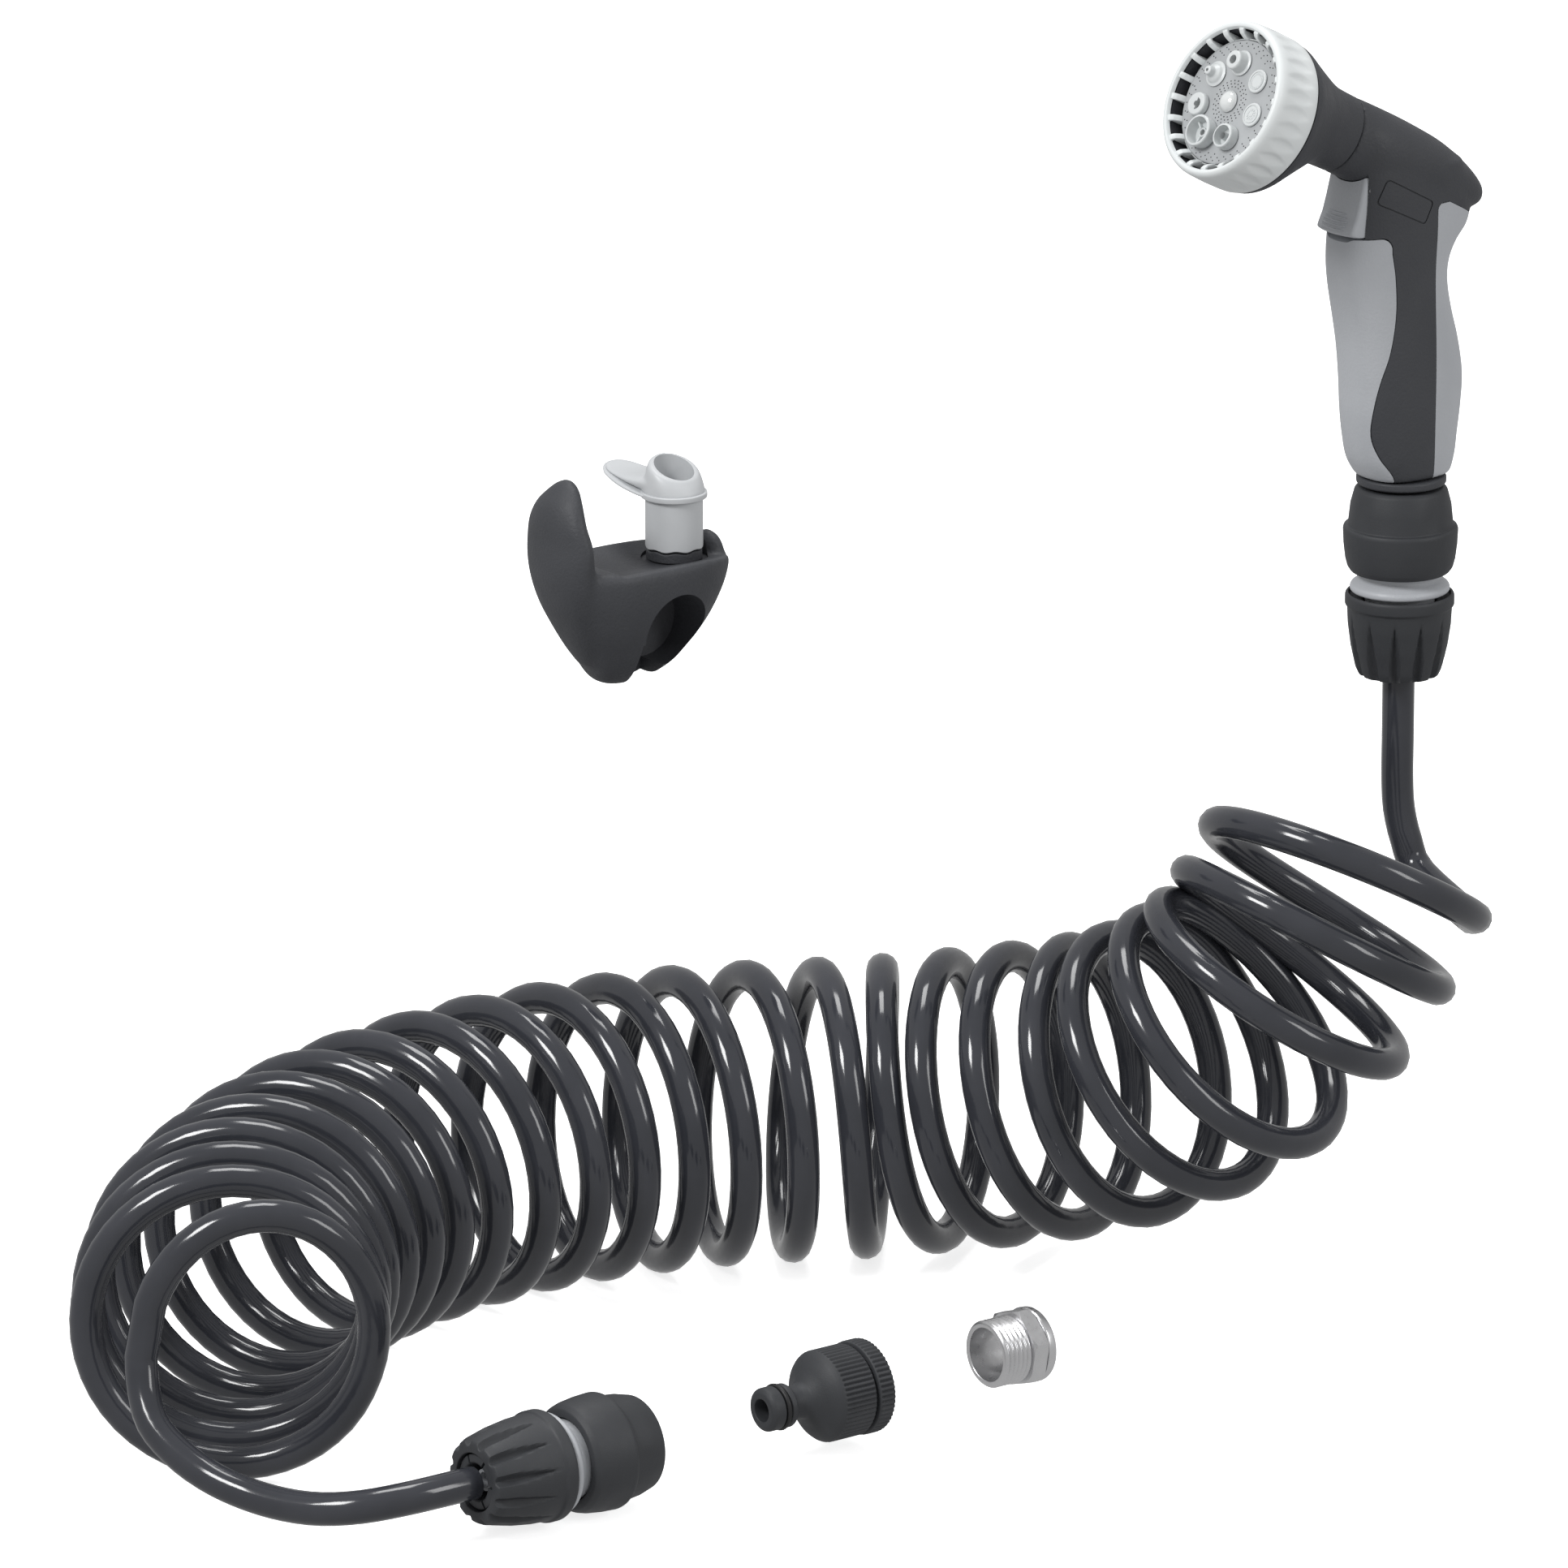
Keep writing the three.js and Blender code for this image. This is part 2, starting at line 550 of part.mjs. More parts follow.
// ---- quick connector, the same at both ends of the hose ----
// Local Z runs from the mouth toward the hose.
function connector(prefix, m) {
  const sleeve = ringed(
    [[8.4, 0], [14.5, 0], [15.1, 0.8], [16.6, 6], [17.4, 13.1], [18.5, 13.2], [18.8, 14.2],
      [18.1, 24.5], [17.2, 27.4], [16.2, 28.8], [13.4, 28.9], [13.4, 2.0], [8.4, 2.0]],
    28,
    m,
  );
  add(prefix + "_sleeve", sleeve, DARK());
  const body = ringed(
    [[7.75, 7.6], [10.6, 7.6], [10.6, 27.2], [12.9, 27.4], [12.9, 32], [16.1, 33.5],
      [16.3, 34.4], [16.1, 35.4], [11.4, 35.6], [11.4, 46], [3.6, 46.4], [3.6, 60], [2.4, 60], [2.4, 21.4], [7.75, 21.2]],
    24,
    m,
  );
  add(prefix + "_core", body, LIGHT());
  const nutOuter = [];
  const rows = [
    [36.0, 17.4, 0], [40.2, 17.7, 0], [40.9, 17.1, 0], [46.5, 16.7, 0],
    [54, 15.6, 1.0], [62.6, 13.8, 1.4], [COUPLING_LEN, 12.6, 1.1],
  ];
  const per = 3;
  const n = NUT_FLUTES * per;
  const dip = [0, 1, 0];
  for (const [z, r, k] of rows) {
    const ring = [];
    for (let i = 0; i < n; i++) {
      const t = (i / n) * 2 * Math.PI;
      const rr = r - k * dip[i % per];
      ring.push(V(rr * Math.cos(t), rr * Math.sin(t), z).applyMatrix4(m));
    }
    nutOuter.push(ring);
  }
  const nutBore = turned(
    [[0, 35], [16.6, 35], [16.6, 37.6], [12.0, 38.2], [12.0, 50], [9.6, 55], [9.2, 66], [0, 66]],
    24,
    m,
  );
  add(prefix + "_nut", loft(nutOuter).subtract(nutBore), DARK());
  let claws = ringed([[5.7, 47], [8.2, 47], [9.1, 50.5], [8.8, 63.4], [5.7, 63.4]], 18, m);
  for (let i = 0; i < 6; i++) claws = claws.subtract(box(7.5, 0, 60, 5, 0.9, 12, m.clone().multiply(spin(60 * i))));
  add(prefix + "_claws", claws, DARK());
  add(prefix + "_latch", washer(8.1, 12.6, 5.4, 7.2, 20, m), STEEL());
  add(prefix + "_seal", ringed([[7.25, 18.2], [7.6, 18.2], [7.6, 20.6], [7.25, 20.6]], 20, m), RUBBER());
  add(prefix + "_spring", spring(12.0, 0.45, 4, 17, m.clone().multiply(at(0, 0, 8.6)), 9), STEEL());
}

// Male quick-connect nipple profile from its tip, tip at local z 0, growing toward +Z.
const NIPPLE = [[3.7, 0], [6.0, 0], [7.1, 1.0], [7.1, 4.9], [6.3, 5.0], [6.3, 7.4], [7.1, 7.5], [7.1, 9.3], [6.9, 9.6], [5.3, 10.4], [5.3, 14.6]];

function inlet() {
  const tip = -17.6;
  const m = at(0, 0, INLET_Z);
  const profile = NIPPLE.map(([r, z]) => [r, z + tip]);
  const s = ringed([...profile, [7.6, -0.6], [7.9, 1.6], [14.2, 1.7], [14.75, 2.4], [14.75, 4.2], [14.2, 4.6], [3.7, 4.6]], 24, m);
  add("inlet_nipple", s, DARK());
  add("inlet_oring", ringed([[6.6, tip + 5.5], [7.2, tip + 5.5], [7.45, tip + 6.2], [7.2, tip + 6.9], [6.6, tip + 6.9]], 20, m), RUBBER());
}

// ---- tap side ----
function tapParts() {
  const m = frame(V(TAP_AXIS.x, TAP_MALE_Y, TAP_AXIS.z), V(0, 1, 0));
  const knurl = (z0, z1, r, depth, teeth) => {
    const n = teeth * 2;
    const rows = [[z0, r - depth], [z0 + 0.5, null], [z1 - 0.5, null], [z1, r - depth]];
    return loft(
      rows.map(([z, fixed]) => {
        const ring = [];
        for (let i = 0; i < n; i++) {
          const t = (i / n) * 2 * Math.PI;
          const rr = fixed ?? (i % 2 ? r : r - depth);
          ring.push(V(rr * Math.cos(t), rr * Math.sin(t), z).applyMatrix4(m));
        }
        return ring;
      }),
    );
  };
  const core = ringed([...NIPPLE, [6.2, 16], [9.5, 18.4], [12.6, 20.3], [13.9, 21.6], [14.2, 22.6], [14.2, 35.2], [3.7, 35.2]], 24, m);
  const body = cut(join(core, knurl(22.4, 35.0, 14.9, 0.5, 20)), disc(13.0, 24, 40, 20, m));
  add("tap_nipple_body", body, DARK());
  add("tap_nipple_oring", ringed([[6.6, 5.5], [7.2, 5.5], [7.45, 6.2], [7.2, 6.9], [6.6, 6.9]], 20, m), RUBBER());
  add("tap_nipple_washer", washer(6.5, 12.6, 24.3, 26.3, 22, m), RUBBER());
  const reducer = cut(join(knurl(36.2, 42.2, 15.3, 0.5, 20), disc(12.6, 27, 37, 20, m)), disc(11.35, 20, 50, 20, m));
  add("tap_reducer_ring", reducer, DARK());
  const a = frame(V(TAP_AXIS.x, ADAPTER_Y, TAP_AXIS.z), V(0, 1, 0));
  const thread = [[8.7, 0], [10.3, 0], [11.0, 0.8]];
  for (let i = 0; i < 4; i++) thread.push([10.3, 1.8 + 2.2 * i], [11.0, 2.9 + 2.2 * i]);
  const sleeve = ringed([...thread, [10.4, 10.6], [10.4, 15.5], [12.0, 16.2], [12.2, 17.0], [12.0, 19.2], [11.6, 19.6], [10.4, 19.6], [10.4, 16.4], [8.7, 16.2]], 22, a);
  const hex = solid(new THREE.CylinderGeometry(13.4, 13.4, 5.4, 6).rotateX(Math.PI / 2).translate(0, 0, 13.3).applyMatrix4(a.clone().multiply(spin(12))));
  const chamfer = turned([[0, 10.4], [12.2, 10.4], [13.5, 11.2], [13.5, 15.4], [12.2, 16.2], [0, 16.2]], 24, a);
  const adapter = join(sleeve, hex.intersect(chamfer).subtract(disc(9.6, 8, 20, 22, a)));
  add("thread_adapter", adapter, SILVER());
  add("adapter_washer", washer(8.9, 10.1, 16.8, 18.4, 22, a), RUBBER());
}

// ---- holder ----
const DISH_R = 48; // radius of the shallow cradle along the holder's top
function holderParts() {
  const [hx, hy, hz] = HOLDER_AT;
  const m = at(hx, hy, hz);
  // Body rows from the latch post's foot: [height, front end, rear end, half thickness].
  const rows = [
    [-37.4, -28, -20, 3],
    [-36.2, -31.5, -14, 6.2],
    [-33, -34.4, -6, 9.6],
    [-29, -36.6, -1, 12.4],
    [-24, -39.6, 3.8, 14.8],
    [-18, -43.6, 8.8, 17],
    [-12, -46.8, 12.8, 18.4],
    [-6, -49.8, 15.8, 19],
    [0, -51.8, 17.4, 18.8],
    [4.2, -52.2, 17.6, 17.8],
  ];
  const lower = loft(
    rows.map(([h, y0, y1, w]) => oval(w, (y1 - y0) / 2, 24, 2.45, m.clone().multiply(at(0, (y0 + y1) / 2, h)))),
  );
  // The curled lip at the front: [height, centre, half thickness, half width].
  const lipRows = [
    [-12, -38, 6, 11],
    [-4, -43, 7, 12.6],
    [6, -45.4, 6.8, 15],
    [14, -46, 6, 15.6],
    [20, -46.6, 5.4, 14.2],
    [26, -46.1, 4.8, 11.2],
    [30, -44.4, 3.8, 7.4],
    [33.6, -43.2, 2, 2.4],
  ];
  const lip = loft(lipRows.map(([h, y, b, w]) => oval(w, b, 16, 2, m.clone().multiply(at(0, y, h)))));
  const stop = loft(
    [[0, 7, 4.2], [4, 6.4, 3.4], [6.4, 4, 2], [7.4, 1.6, 0.8]].map(([h, w, b]) =>
      oval(w, b, 12, 2, m.clone().multiply(at(0, 14.6, h))),
    ),
  );
  const dish = disc(DISH_R, -34, 40, 72, frame(V(hx, hy, hz + DISH_R), V(0, 1, 0)));
  const blind = -11; // the rail's hole stops short of the far side
  const pipe = disc(12.7, blind, 25, 28, frame(V(hx, hy - 11.3, hz - 19), V(1, 0, 0)));
  const mouth = box(blind + 20, -18.5, -34, 40, 12, 24, m);
  const seat = disc(10.8, 0, 30, 24, m); // flat seat under the ratchet ring
  const body = cut(join(lower.subtract(dish), lip, stop), pipe, mouth, seat, disc(4.2, -12, 10, 20, m));
  add("holder_body", body, DARK());
  const wave = (z, r0, r1, sign) => {
    const n = 24;
    const ringAt = (r, zf) => Array.from({ length: n }, (_, i) => {
      const t = (i / n) * 2 * Math.PI;
      return V(r * Math.cos(t), r * Math.sin(t), zf(t)).applyMatrix4(m);
    });
    const wavy = (t) => z + RATCHET_WAVE * Math.sin(8 * t);
    const base = sign > 0 ? (() => z + 14) : (() => GAP);
    const outer = sign > 0 ? loft([ringAt(r1, wavy), ringAt(r1, base)]) : loft([ringAt(r1, base), ringAt(r1, wavy)]);
    const bore = disc(r0, -5, 60, 22, m);
    return outer.subtract(bore);
  };
  add("holder_ratchet_ring", wave(3.6, 4.6, 9.2, -1), DARK());
  const post = wave(4.2, 6.6, 9.5, 1);
  const skirt = ringed([[6.6, 18], [9.5, 18], [10.6, 20.4], [10.8, 21.4], [10.6, 22.4], [6.6, 22.4]], 24, m);
  const tilted = (y, h, angle) =>
    m.clone().multiply(at(0, y, h)).multiply(new THREE.Matrix4().makeRotationY(angle));
  const mouthTop = cut(
    loft([
      oval(10.6, 10.6, 18, 2, tilted(0, 22.2, 0)),
      oval(9.7, 9.7, 18, 2, tilted(0, 26, 0.2)),
      oval(8.7, 8.7, 18, 2, tilted(0, 30.2, 0.42)),
    ]),
    disc(6.6, 10, 60, 22, m),
  );
  // tongue rows, from the post outward: [distance, half width, height, half thickness]
  const tongue = loft(
    [[4, 10.4, 22.4, 1.6], [12, 10, 22.6, 1.5], [20, 8.9, 23.3, 1.4], [28, 7.2, 24.5, 1.2], [32.4, 4.8, 25.3, 1],
      [34.2, 2, 25.7, 0.6]].map(([d, w, h, t]) => oval(w, t, 12, 2.4, frame(V(hx - d, hy, hz + h), V(-1, 0, 0)))),
  );
  const latch = cut(join(post, skirt, mouthTop, tongue), disc(6.6, -5, 60, 22, m));
  add("holder_latch", latch, LIGHT());
  add("holder_bolt", turned([[0, -11.4], [3.8, -11.4], [3.8, 12], [6.2, 12.2], [6.2, 15.6], [0, 15.6]], 20, m), STEEL());
}

// ---- hose ----
const LEAD_GUN = [[0, 0, -112.4], [0, 0, -140], [0, 0, -154], [2.2, 0.6, -165], [10.5, 1.8, -176]];
const LYING = FLOOR_Z + COIL_R + HOSE_R; // axis height of the coil where it lies down
const COIL_AXIS = [
  [21, -35, -160], [13, -68, -208], [-39, -95, -243], [-96, -132, LYING], [-129, -194, LYING],
  [-138, -264, LYING], [-126, -339, LYING], [-86, -403, LYING], [-33, -449, LYING],
];
const LEAD_TAP = [[-26, -487, -273], [-14, -486, -285], [5, -477, -293], [30, -459, -294], [44.5, -445, -291.5], [48.7, -430, -290], [48.7, -411.6, -290]];

function hoseParts() {
  const pts = (list) => list.map(([x, y, z]) => V(x, y, z));
  add("hose_lead_gun", tube(pts(LEAD_GUN), HOSE_R, 8, 7), HOSE());
  add("hose_coil", tube(pts(COIL_AXIS), COIL_R + HOSE_R, 16, 22), HOSE());
  add("hose_lead_tap", tube(pts(LEAD_TAP), HOSE_R, 8, 10), HOSE());
}

gunParts();
headParts();
inlet();
connector("gun_connector", frame(V(0, 0, INLET_Z + 0.8), V(0, 0, -1)));
connector("tap_connector", frame(V(TAP_AXIS.x, TAP_NUT_Y + COUPLING_LEN, TAP_AXIS.z), V(0, -1, 0)));
tapParts();
holderParts();
hoseParts();

export default group;
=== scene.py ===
"""Handheld bath sprayer: a pistol-grip sprayer on a spiral hose, with its tap fittings and holder.

Sizes inside the making functions are in millimetres; a piece is brought to metres when it is finished.
"""

import math

import bmesh
import bpy
from mathutils import Matrix, Vector


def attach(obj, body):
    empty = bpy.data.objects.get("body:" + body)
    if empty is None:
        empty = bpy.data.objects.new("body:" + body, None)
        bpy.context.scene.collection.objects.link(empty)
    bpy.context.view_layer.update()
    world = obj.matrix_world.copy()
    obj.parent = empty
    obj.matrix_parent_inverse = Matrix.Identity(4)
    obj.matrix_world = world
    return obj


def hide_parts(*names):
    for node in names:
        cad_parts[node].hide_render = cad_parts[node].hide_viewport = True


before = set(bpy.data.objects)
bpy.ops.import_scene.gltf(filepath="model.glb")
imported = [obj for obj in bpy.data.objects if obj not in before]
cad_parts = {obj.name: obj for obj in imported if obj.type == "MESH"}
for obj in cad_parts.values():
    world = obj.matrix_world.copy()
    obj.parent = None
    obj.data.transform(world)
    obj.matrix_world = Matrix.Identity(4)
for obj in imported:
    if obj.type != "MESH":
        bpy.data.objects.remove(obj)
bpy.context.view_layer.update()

# ---- sizes shared with the design, in millimetres ----
PITCH = math.radians(27.2)  # tilt of the barrel and head
INLET_Z = -48.0
BARREL_Z = 60.3
HEAD_S = 66.2
HEAD_DROP = 5.6
RING_R = 26.7
RING_LEN = 17.8
FACE_Z = 13.6
PATTERN_R = 13.0
PATTERN_COUNT = 7
PATTERN_TURN = -4.0
NOZZLE_CLEAR = 5.6  # no shower holes this close to a nozzle
WINDOWS = 20
FLUTES = 30
COUPLING_LEN = 64.0
NUT_FLUTES = 12
HOSE_R = 5.3
COIL_R = 45.1
FLOOR_Z = -308.8
TAP_X, TAP_Z = 48.7, -290.0
TAP_NUT_Y = -411.0
TAP_MALE_Y = -298.8
ADAPTER_Y = -208.8
HOLDER_AT = Vector((-150.0, -183.5, -74.3))
DISH_R = 48.0
TRIGGER_HALF_W = 9.2
RATCHET_WAVE = 0.26  # low enough for the latch to turn over its ring
PIVOT_Q, PIVOT_H = 21.6, 104.6
GAP = 0.3
MM = 0.001

BARREL_DIR = Vector((0, -math.cos(PITCH), math.sin(PITCH)))
BARREL_UP = Vector((0, math.sin(PITCH), math.cos(PITCH)))


def along(origin, direction):
    """Matrix whose local +Z runs along a direction, with local X kept on the world X where it can be."""
    z = Vector(direction).normalized()
    x = Vector((0, 1, 0)) if abs(z.x) > 0.9 else Vector((1, 0, 0))
    y = z.cross(x).normalized()
    x = y.cross(z)
    m = Matrix((x, y, z)).transposed().to_4x4()
    m.translation = Vector(origin)
    return m


def on_barrel(s, u=0.0):
    """Frame on the barrel: s forward of the inlet axis, u above the barrel axis."""
    return along(Vector((0, 0, BARREL_Z)) + BARREL_DIR * s + BARREL_UP * u, BARREL_DIR)


HEAD = on_barrel(HEAD_S, -HEAD_DROP)


def on_head(x, y, z):
    return HEAD @ Matrix.Translation((x, y, z))


def turn(degrees):
    return Matrix.Rotation(math.radians(degrees), 4, "Z")


# ---- camera, floor and light ----
def studio_camera():
    data = bpy.data.cameras.new("studio_camera")
    data.lens = 316.8
    data.sensor_width = 36
    data.clip_end = 30
    cam = bpy.data.objects.new("studio_camera", data)
    cam.location = (3.328, -2.788, 1.136)
    aim = Vector((-0.1202, -0.1611, -0.1483)) - cam.location
    cam.rotation_euler = aim.to_track_quat("-Z", "Y").to_euler()
    bpy.context.collection.objects.link(cam)
    bpy.context.scene.camera = cam


def studio_floor():
    bm = bmesh.new()
    bmesh.ops.create_grid(bm, x_segments=1, y_segments=1, size=12)
    bmesh.ops.translate(bm, vec=(0, 0, FLOOR_Z * MM - 0.0006), verts=bm.verts)
    mesh = bpy.data.meshes.new("studio_floor")
    bm.to_mesh(mesh)
    bm.free()
    floor = bpy.data.objects.new("studio_floor", mesh)
    bpy.context.collection.objects.link(floor)
    paint = bpy.data.materials.new("pale_floor")
    paint.use_nodes = True
    shade = paint.node_tree.nodes["Principled BSDF"]
    shade.inputs["Base Color"].default_value = (0.93, 0.93, 0.93, 1)
    shade.inputs["Roughness"].default_value = 0.9
    shade.inputs["Specular IOR Level"].default_value = 0.1
    shade.inputs["Emission Color"].default_value = (1, 1, 1, 1)
    shade.inputs["Emission Strength"].default_value = 0.75
    mesh.materials.append(paint)
    floor.visible_glossy = False
    floor.visible_diffuse = False


def softbox(name, place, aim, size, power):
    data = bpy.data.lights.new(name, "AREA")
    data.shape = "RECTANGLE"
    data.size, data.size_y = size
    data.energy = power
    lamp = bpy.data.objects.new(name, data)
    lamp.location = place
    lamp.rotation_euler = (Vector(aim) - Vector(place)).to_track_quat("-Z", "Y").to_euler()
    bpy.context.collection.objects.link(lamp)


def studio_light():
    world = bpy.data.worlds.new("studio_air")
    world.use_nodes = True
    world.node_tree.nodes["Background"].inputs["Color"].default_value = (1, 1, 1, 1)
    world.node_tree.nodes["Background"].inputs["Strength"].default_value = 0.5
    bpy.context.scene.world = world
    middle = (-0.05, -0.2, -0.1)
    softbox("key_box", (0.1, -2.4, 1.9), middle, (0.9, 0.9), 54)
    softbox("side_box", (2.4, 0.9, 1.2), middle, (0.8, 1.2), 18)
    softbox("top_box", (-0.6, 0.2, 2.4), middle, (1.0, 1.0), 25)


# ---- finishes ----
class Finish:
    """Small helper that strings shader nodes together on Object coordinates."""

    def __init__(self, name):
        self.material = bpy.data.materials.new(name)
        self.material.use_nodes = True
        self.tree = self.material.node_tree
        self.shade = self.tree.nodes["Principled BSDF"]
        self.place = self.node("ShaderNodeTexCoord").outputs["Object"]

    def node(self, kind, **settings):
        made = self.tree.nodes.new(kind)
        for key, value in settings.items():
            setattr(made, key, value)
        return made

    def link(self, a, b):
        self.tree.links.new(a, b)

    def noise(self, scale, detail=3.0, rough=0.55):
        tex = self.node("ShaderNodeTexNoise")
        tex.inputs["Scale"].default_value = scale
        tex.inputs["Detail"].default_value = detail
        tex.inputs["Roughness"].default_value = rough
        self.link(self.place, tex.inputs["Vector"])
        return tex.outputs["Fac"]

    def spread(self, fac, low, high, start=0.3, end=0.7):
        remap = self.node("ShaderNodeMapRange")
        remap.inputs["From Min"].default_value = start
        remap.inputs["From Max"].default_value = end
        remap.inputs["To Min"].default_value = low
        remap.inputs["To Max"].default_value = high
        self.link(fac, remap.inputs["Value"])
        return remap.outputs["Result"]

    def tint(self, fac, dark, light):
        mix = self.node("ShaderNodeMix", data_type="RGBA")
        mix.inputs["A"].default_value = (*dark, 1)
        mix.inputs["B"].default_value = (*light, 1)
        self.link(fac, mix.inputs["Factor"])
        self.link(mix.outputs["Result"], self.shade.inputs["Base Color"])

    def bump(self, height, strength, depth):
        bump = self.node("ShaderNodeBump")
        bump.inputs["Strength"].default_value = strength
        bump.inputs["Distance"].default_value = depth
        self.link(height, bump.inputs["Height"])
        self.link(bump.outputs["Normal"], self.shade.inputs["Normal"])


def moulded(name, dark, light, rough, grain, grain_depth, specular=0.5, coat=0.0):
    """Moulded plastic: a slow drift of colour, a fine spark-eroded grain and uneven gloss."""
    f = Finish(name)
    f.tint(f.spread(f.noise(28, 4), 0, 1), dark, light)
    f.link(f.spread(f.noise(140, 3), rough - 0.05, rough + 0.06), f.shade.inputs["Roughness"])
    f.bump(f.noise(grain, 2), 0.55, grain_depth)
    f.shade.inputs["Specular IOR Level"].default_value = specular
    f.shade.inputs["Coat Weight"].default_value = coat
    f.shade.inputs["Coat Roughness"].default_value = 0.18
    return f.material


def plated(name, dark, light, rough, scale):
    """Turned or plated metal with fine marks and a little cloudiness."""
    f = Finish(name)
    f.tint(f.spread(f.noise(60, 4), 0, 1), dark, light)
    f.link(f.spread(f.noise(scale, 3), rough - 0.06, rough + 0.09), f.shade.inputs["Roughness"])
    f.bump(f.noise(scale * 2, 3, 0.6), 0.2, 0.00004)
    f.shade.inputs["Metallic"].default_value = 1.0
    return f.material


def hose_skin():
    f = Finish("hose_skin")
    f.tint(f.spread(f.noise(34, 4), 0, 1), (0.029, 0.031, 0.038), (0.042, 0.044, 0.053))
    f.link(f.spread(f.noise(90, 3), 0.1, 0.16), f.shade.inputs["Roughness"])
    f.bump(f.noise(110, 2), 0.12, 0.00003)
    f.shade.inputs["Specular IOR Level"].default_value = 0.55
    return f.material


DARK = moulded("dark_plastic", (0.041, 0.043, 0.049), (0.053, 0.055, 0.062), 0.56, 1000, 0.0003, 0.42)
COUPLING = moulded(
    "connector_plastic", (0.031, 0.033, 0.037), (0.041, 0.043, 0.048), 0.58, 1700, 0.00008, 0.42
)
GREY = moulded("grey_plastic", (0.41, 0.425, 0.45), (0.46, 0.475, 0.5), 0.44, 1000, 0.0002, 0.45)
LATCH = moulded("latch_plastic", (0.5, 0.515, 0.53), (0.56, 0.575, 0.59), 0.42, 1100, 0.00004, 0.45)
PALE = moulded("pale_plastic", (0.7, 0.73, 0.735), (0.76, 0.785, 0.785), 0.4, 1300, 0.00004, 0.45)
# Spray face: a grey moulding, darkened further with painted shade where it sits recessed inside the pale
# ring.
FACE_SHADED = moulded("face_plastic_shaded", (0.39, 0.405, 0.415), (0.45, 0.465, 0.475), 0.42, 1500, 0.00004, 0.45)
NOZZLE = moulded("nozzle_plastic", (0.6, 0.625, 0.63), (0.68, 0.705, 0.705), 0.34, 1200, 0.00003, 0.5, 0.2)
DOME = moulded("dome_plastic", (0.66, 0.68, 0.68), (0.72, 0.74, 0.74), 0.12, 900, 0.00001, 0.7, 0.6)
# Near-black flat discs painted with the shade inside the fine shower holes.
HOLE_SHADE = moulded("hole_shadow", (0.02, 0.02, 0.021), (0.03, 0.03, 0.031), 0.8, 900, 0.00002, 0.1)
RUBBER = moulded("seal_rubber", (0.012, 0.012, 0.013), (0.02, 0.02, 0.021), 0.5, 1600, 0.00003, 0.4)
STEEL = plated("drawn_steel", (0.45, 0.46, 0.47), (0.56, 0.57, 0.58), 0.28, 400)
BRASS = plated("turned_brass", (0.5, 0.38, 0.16), (0.6, 0.46, 0.2), 0.3, 400)
SILVER = plated("satin_plating", (0.62, 0.62, 0.63), (0.72, 0.72, 0.73), 0.3, 500)
HOSE = hose_skin()


# ---- making pieces ----
def on_axis(outline):
    """True for an outline that starts and ends on the axis, so that it needs no closing edge."""
    return outline[0][0] == 0 and outline[-1][0] == 0


def rounded(outline, fillet=0.35, points=3):
    """The outline with each sharp corner off the axis swapped for a small arc."""
    out = []
    count = len(outline)
    for i, (r, z) in enumerate(outline):
        p = Vector((r, z))
        if r < 1e-6:
            out.append((r, z))
            continue
        a = Vector(outline[i - 1]) - p
        b = Vector(outline[(i + 1) % count]) - p
        reach = min(fillet, 0.45 * a.length, 0.45 * b.length)
        if reach < 1e-4 or a.angle(b) > math.radians(168):
            out.append((r, z))
            continue
        start, end = p + a.normalized() * reach, p + b.normalized() * reach
        for k in range(points + 1):
            t = k / points
            q = start * (1 - t) ** 2 + p * 2 * t * (1 - t) + end * t * t
            out.append((q.x, q.y))
    return out


def stepped(outline, step):
    """The outline with long runs split, so that flutes can be pressed into them."""
    out = []
    ends = outline[1:] if on_axis(outline) else outline[1:] + outline[:1]
    for a, b in zip(outline, ends):
        a, b = Vector(a), Vector(b)
        n = max(1, int((b - a).length / step))
        out += [tuple(a.lerp(b, k / n)) for k in range(n)]
    if on_axis(outline):
        out.append(tuple(outline[-1]))
    return out


def spun(outline, steps=72, where=None):
    """Solid of revolution about local Z from an outline of (radius, height)."""
    bm = bmesh.new()
    rim = [bm.verts.new((r, 0, z)) for r, z in outline]
    line = [bm.edges.new((a, b)) for a, b in zip(rim, rim[1:])]
    if not on_axis(outline):
        line.append(bm.edges.new((rim[-1], rim[0])))
    bmesh.ops.spin(
        bm, geom=rim + line, cent=(0, 0, 0), axis=(0, 0, 1), angle=2 * math.pi, steps=steps, use_merge=True
    )
    if where is not None:
        bmesh.ops.remove_doubles(bm, verts=bm.verts, dist=1e-4)
        bmesh.ops.recalc_face_normals(bm, faces=bm.faces)
        bmesh.ops.transform(bm, matrix=where, verts=bm.verts)
    return bm


def tidy(bm, where=None):
    bmesh.ops.remove_doubles(bm, verts=bm.verts, dist=1e-4)
    bmesh.ops.recalc_face_normals(bm, faces=bm.faces)
    if where is not None:
        bmesh.ops.transform(bm, matrix=where, verts=bm.verts)
    return bm


def sheeted(columns, rows, place, cap=True, wrap=True):
    """A grid wrapped into a skin: place(i, j) says where column i of row j goes."""
    bm = bmesh.new()
    across = columns if wrap else columns - 1
    bmesh.ops.create_grid(bm, x_segments=across, y_segments=rows - 1, size=1)
    for v in bm.verts:
        i = round((v.co.x + 1) / 2 * across)
        j = round((v.co.y + 1) / 2 * (rows - 1))
        v.co = place(i % columns if wrap else i, j)
    bmesh.ops.remove_doubles(bm, verts=bm.verts, dist=1e-5)
    if cap:
        bmesh.ops.holes_fill(bm, edges=[e for e in bm.edges if e.is_boundary], sides=0)
    bmesh.ops.recalc_face_normals(bm, faces=bm.faces)
    return bm


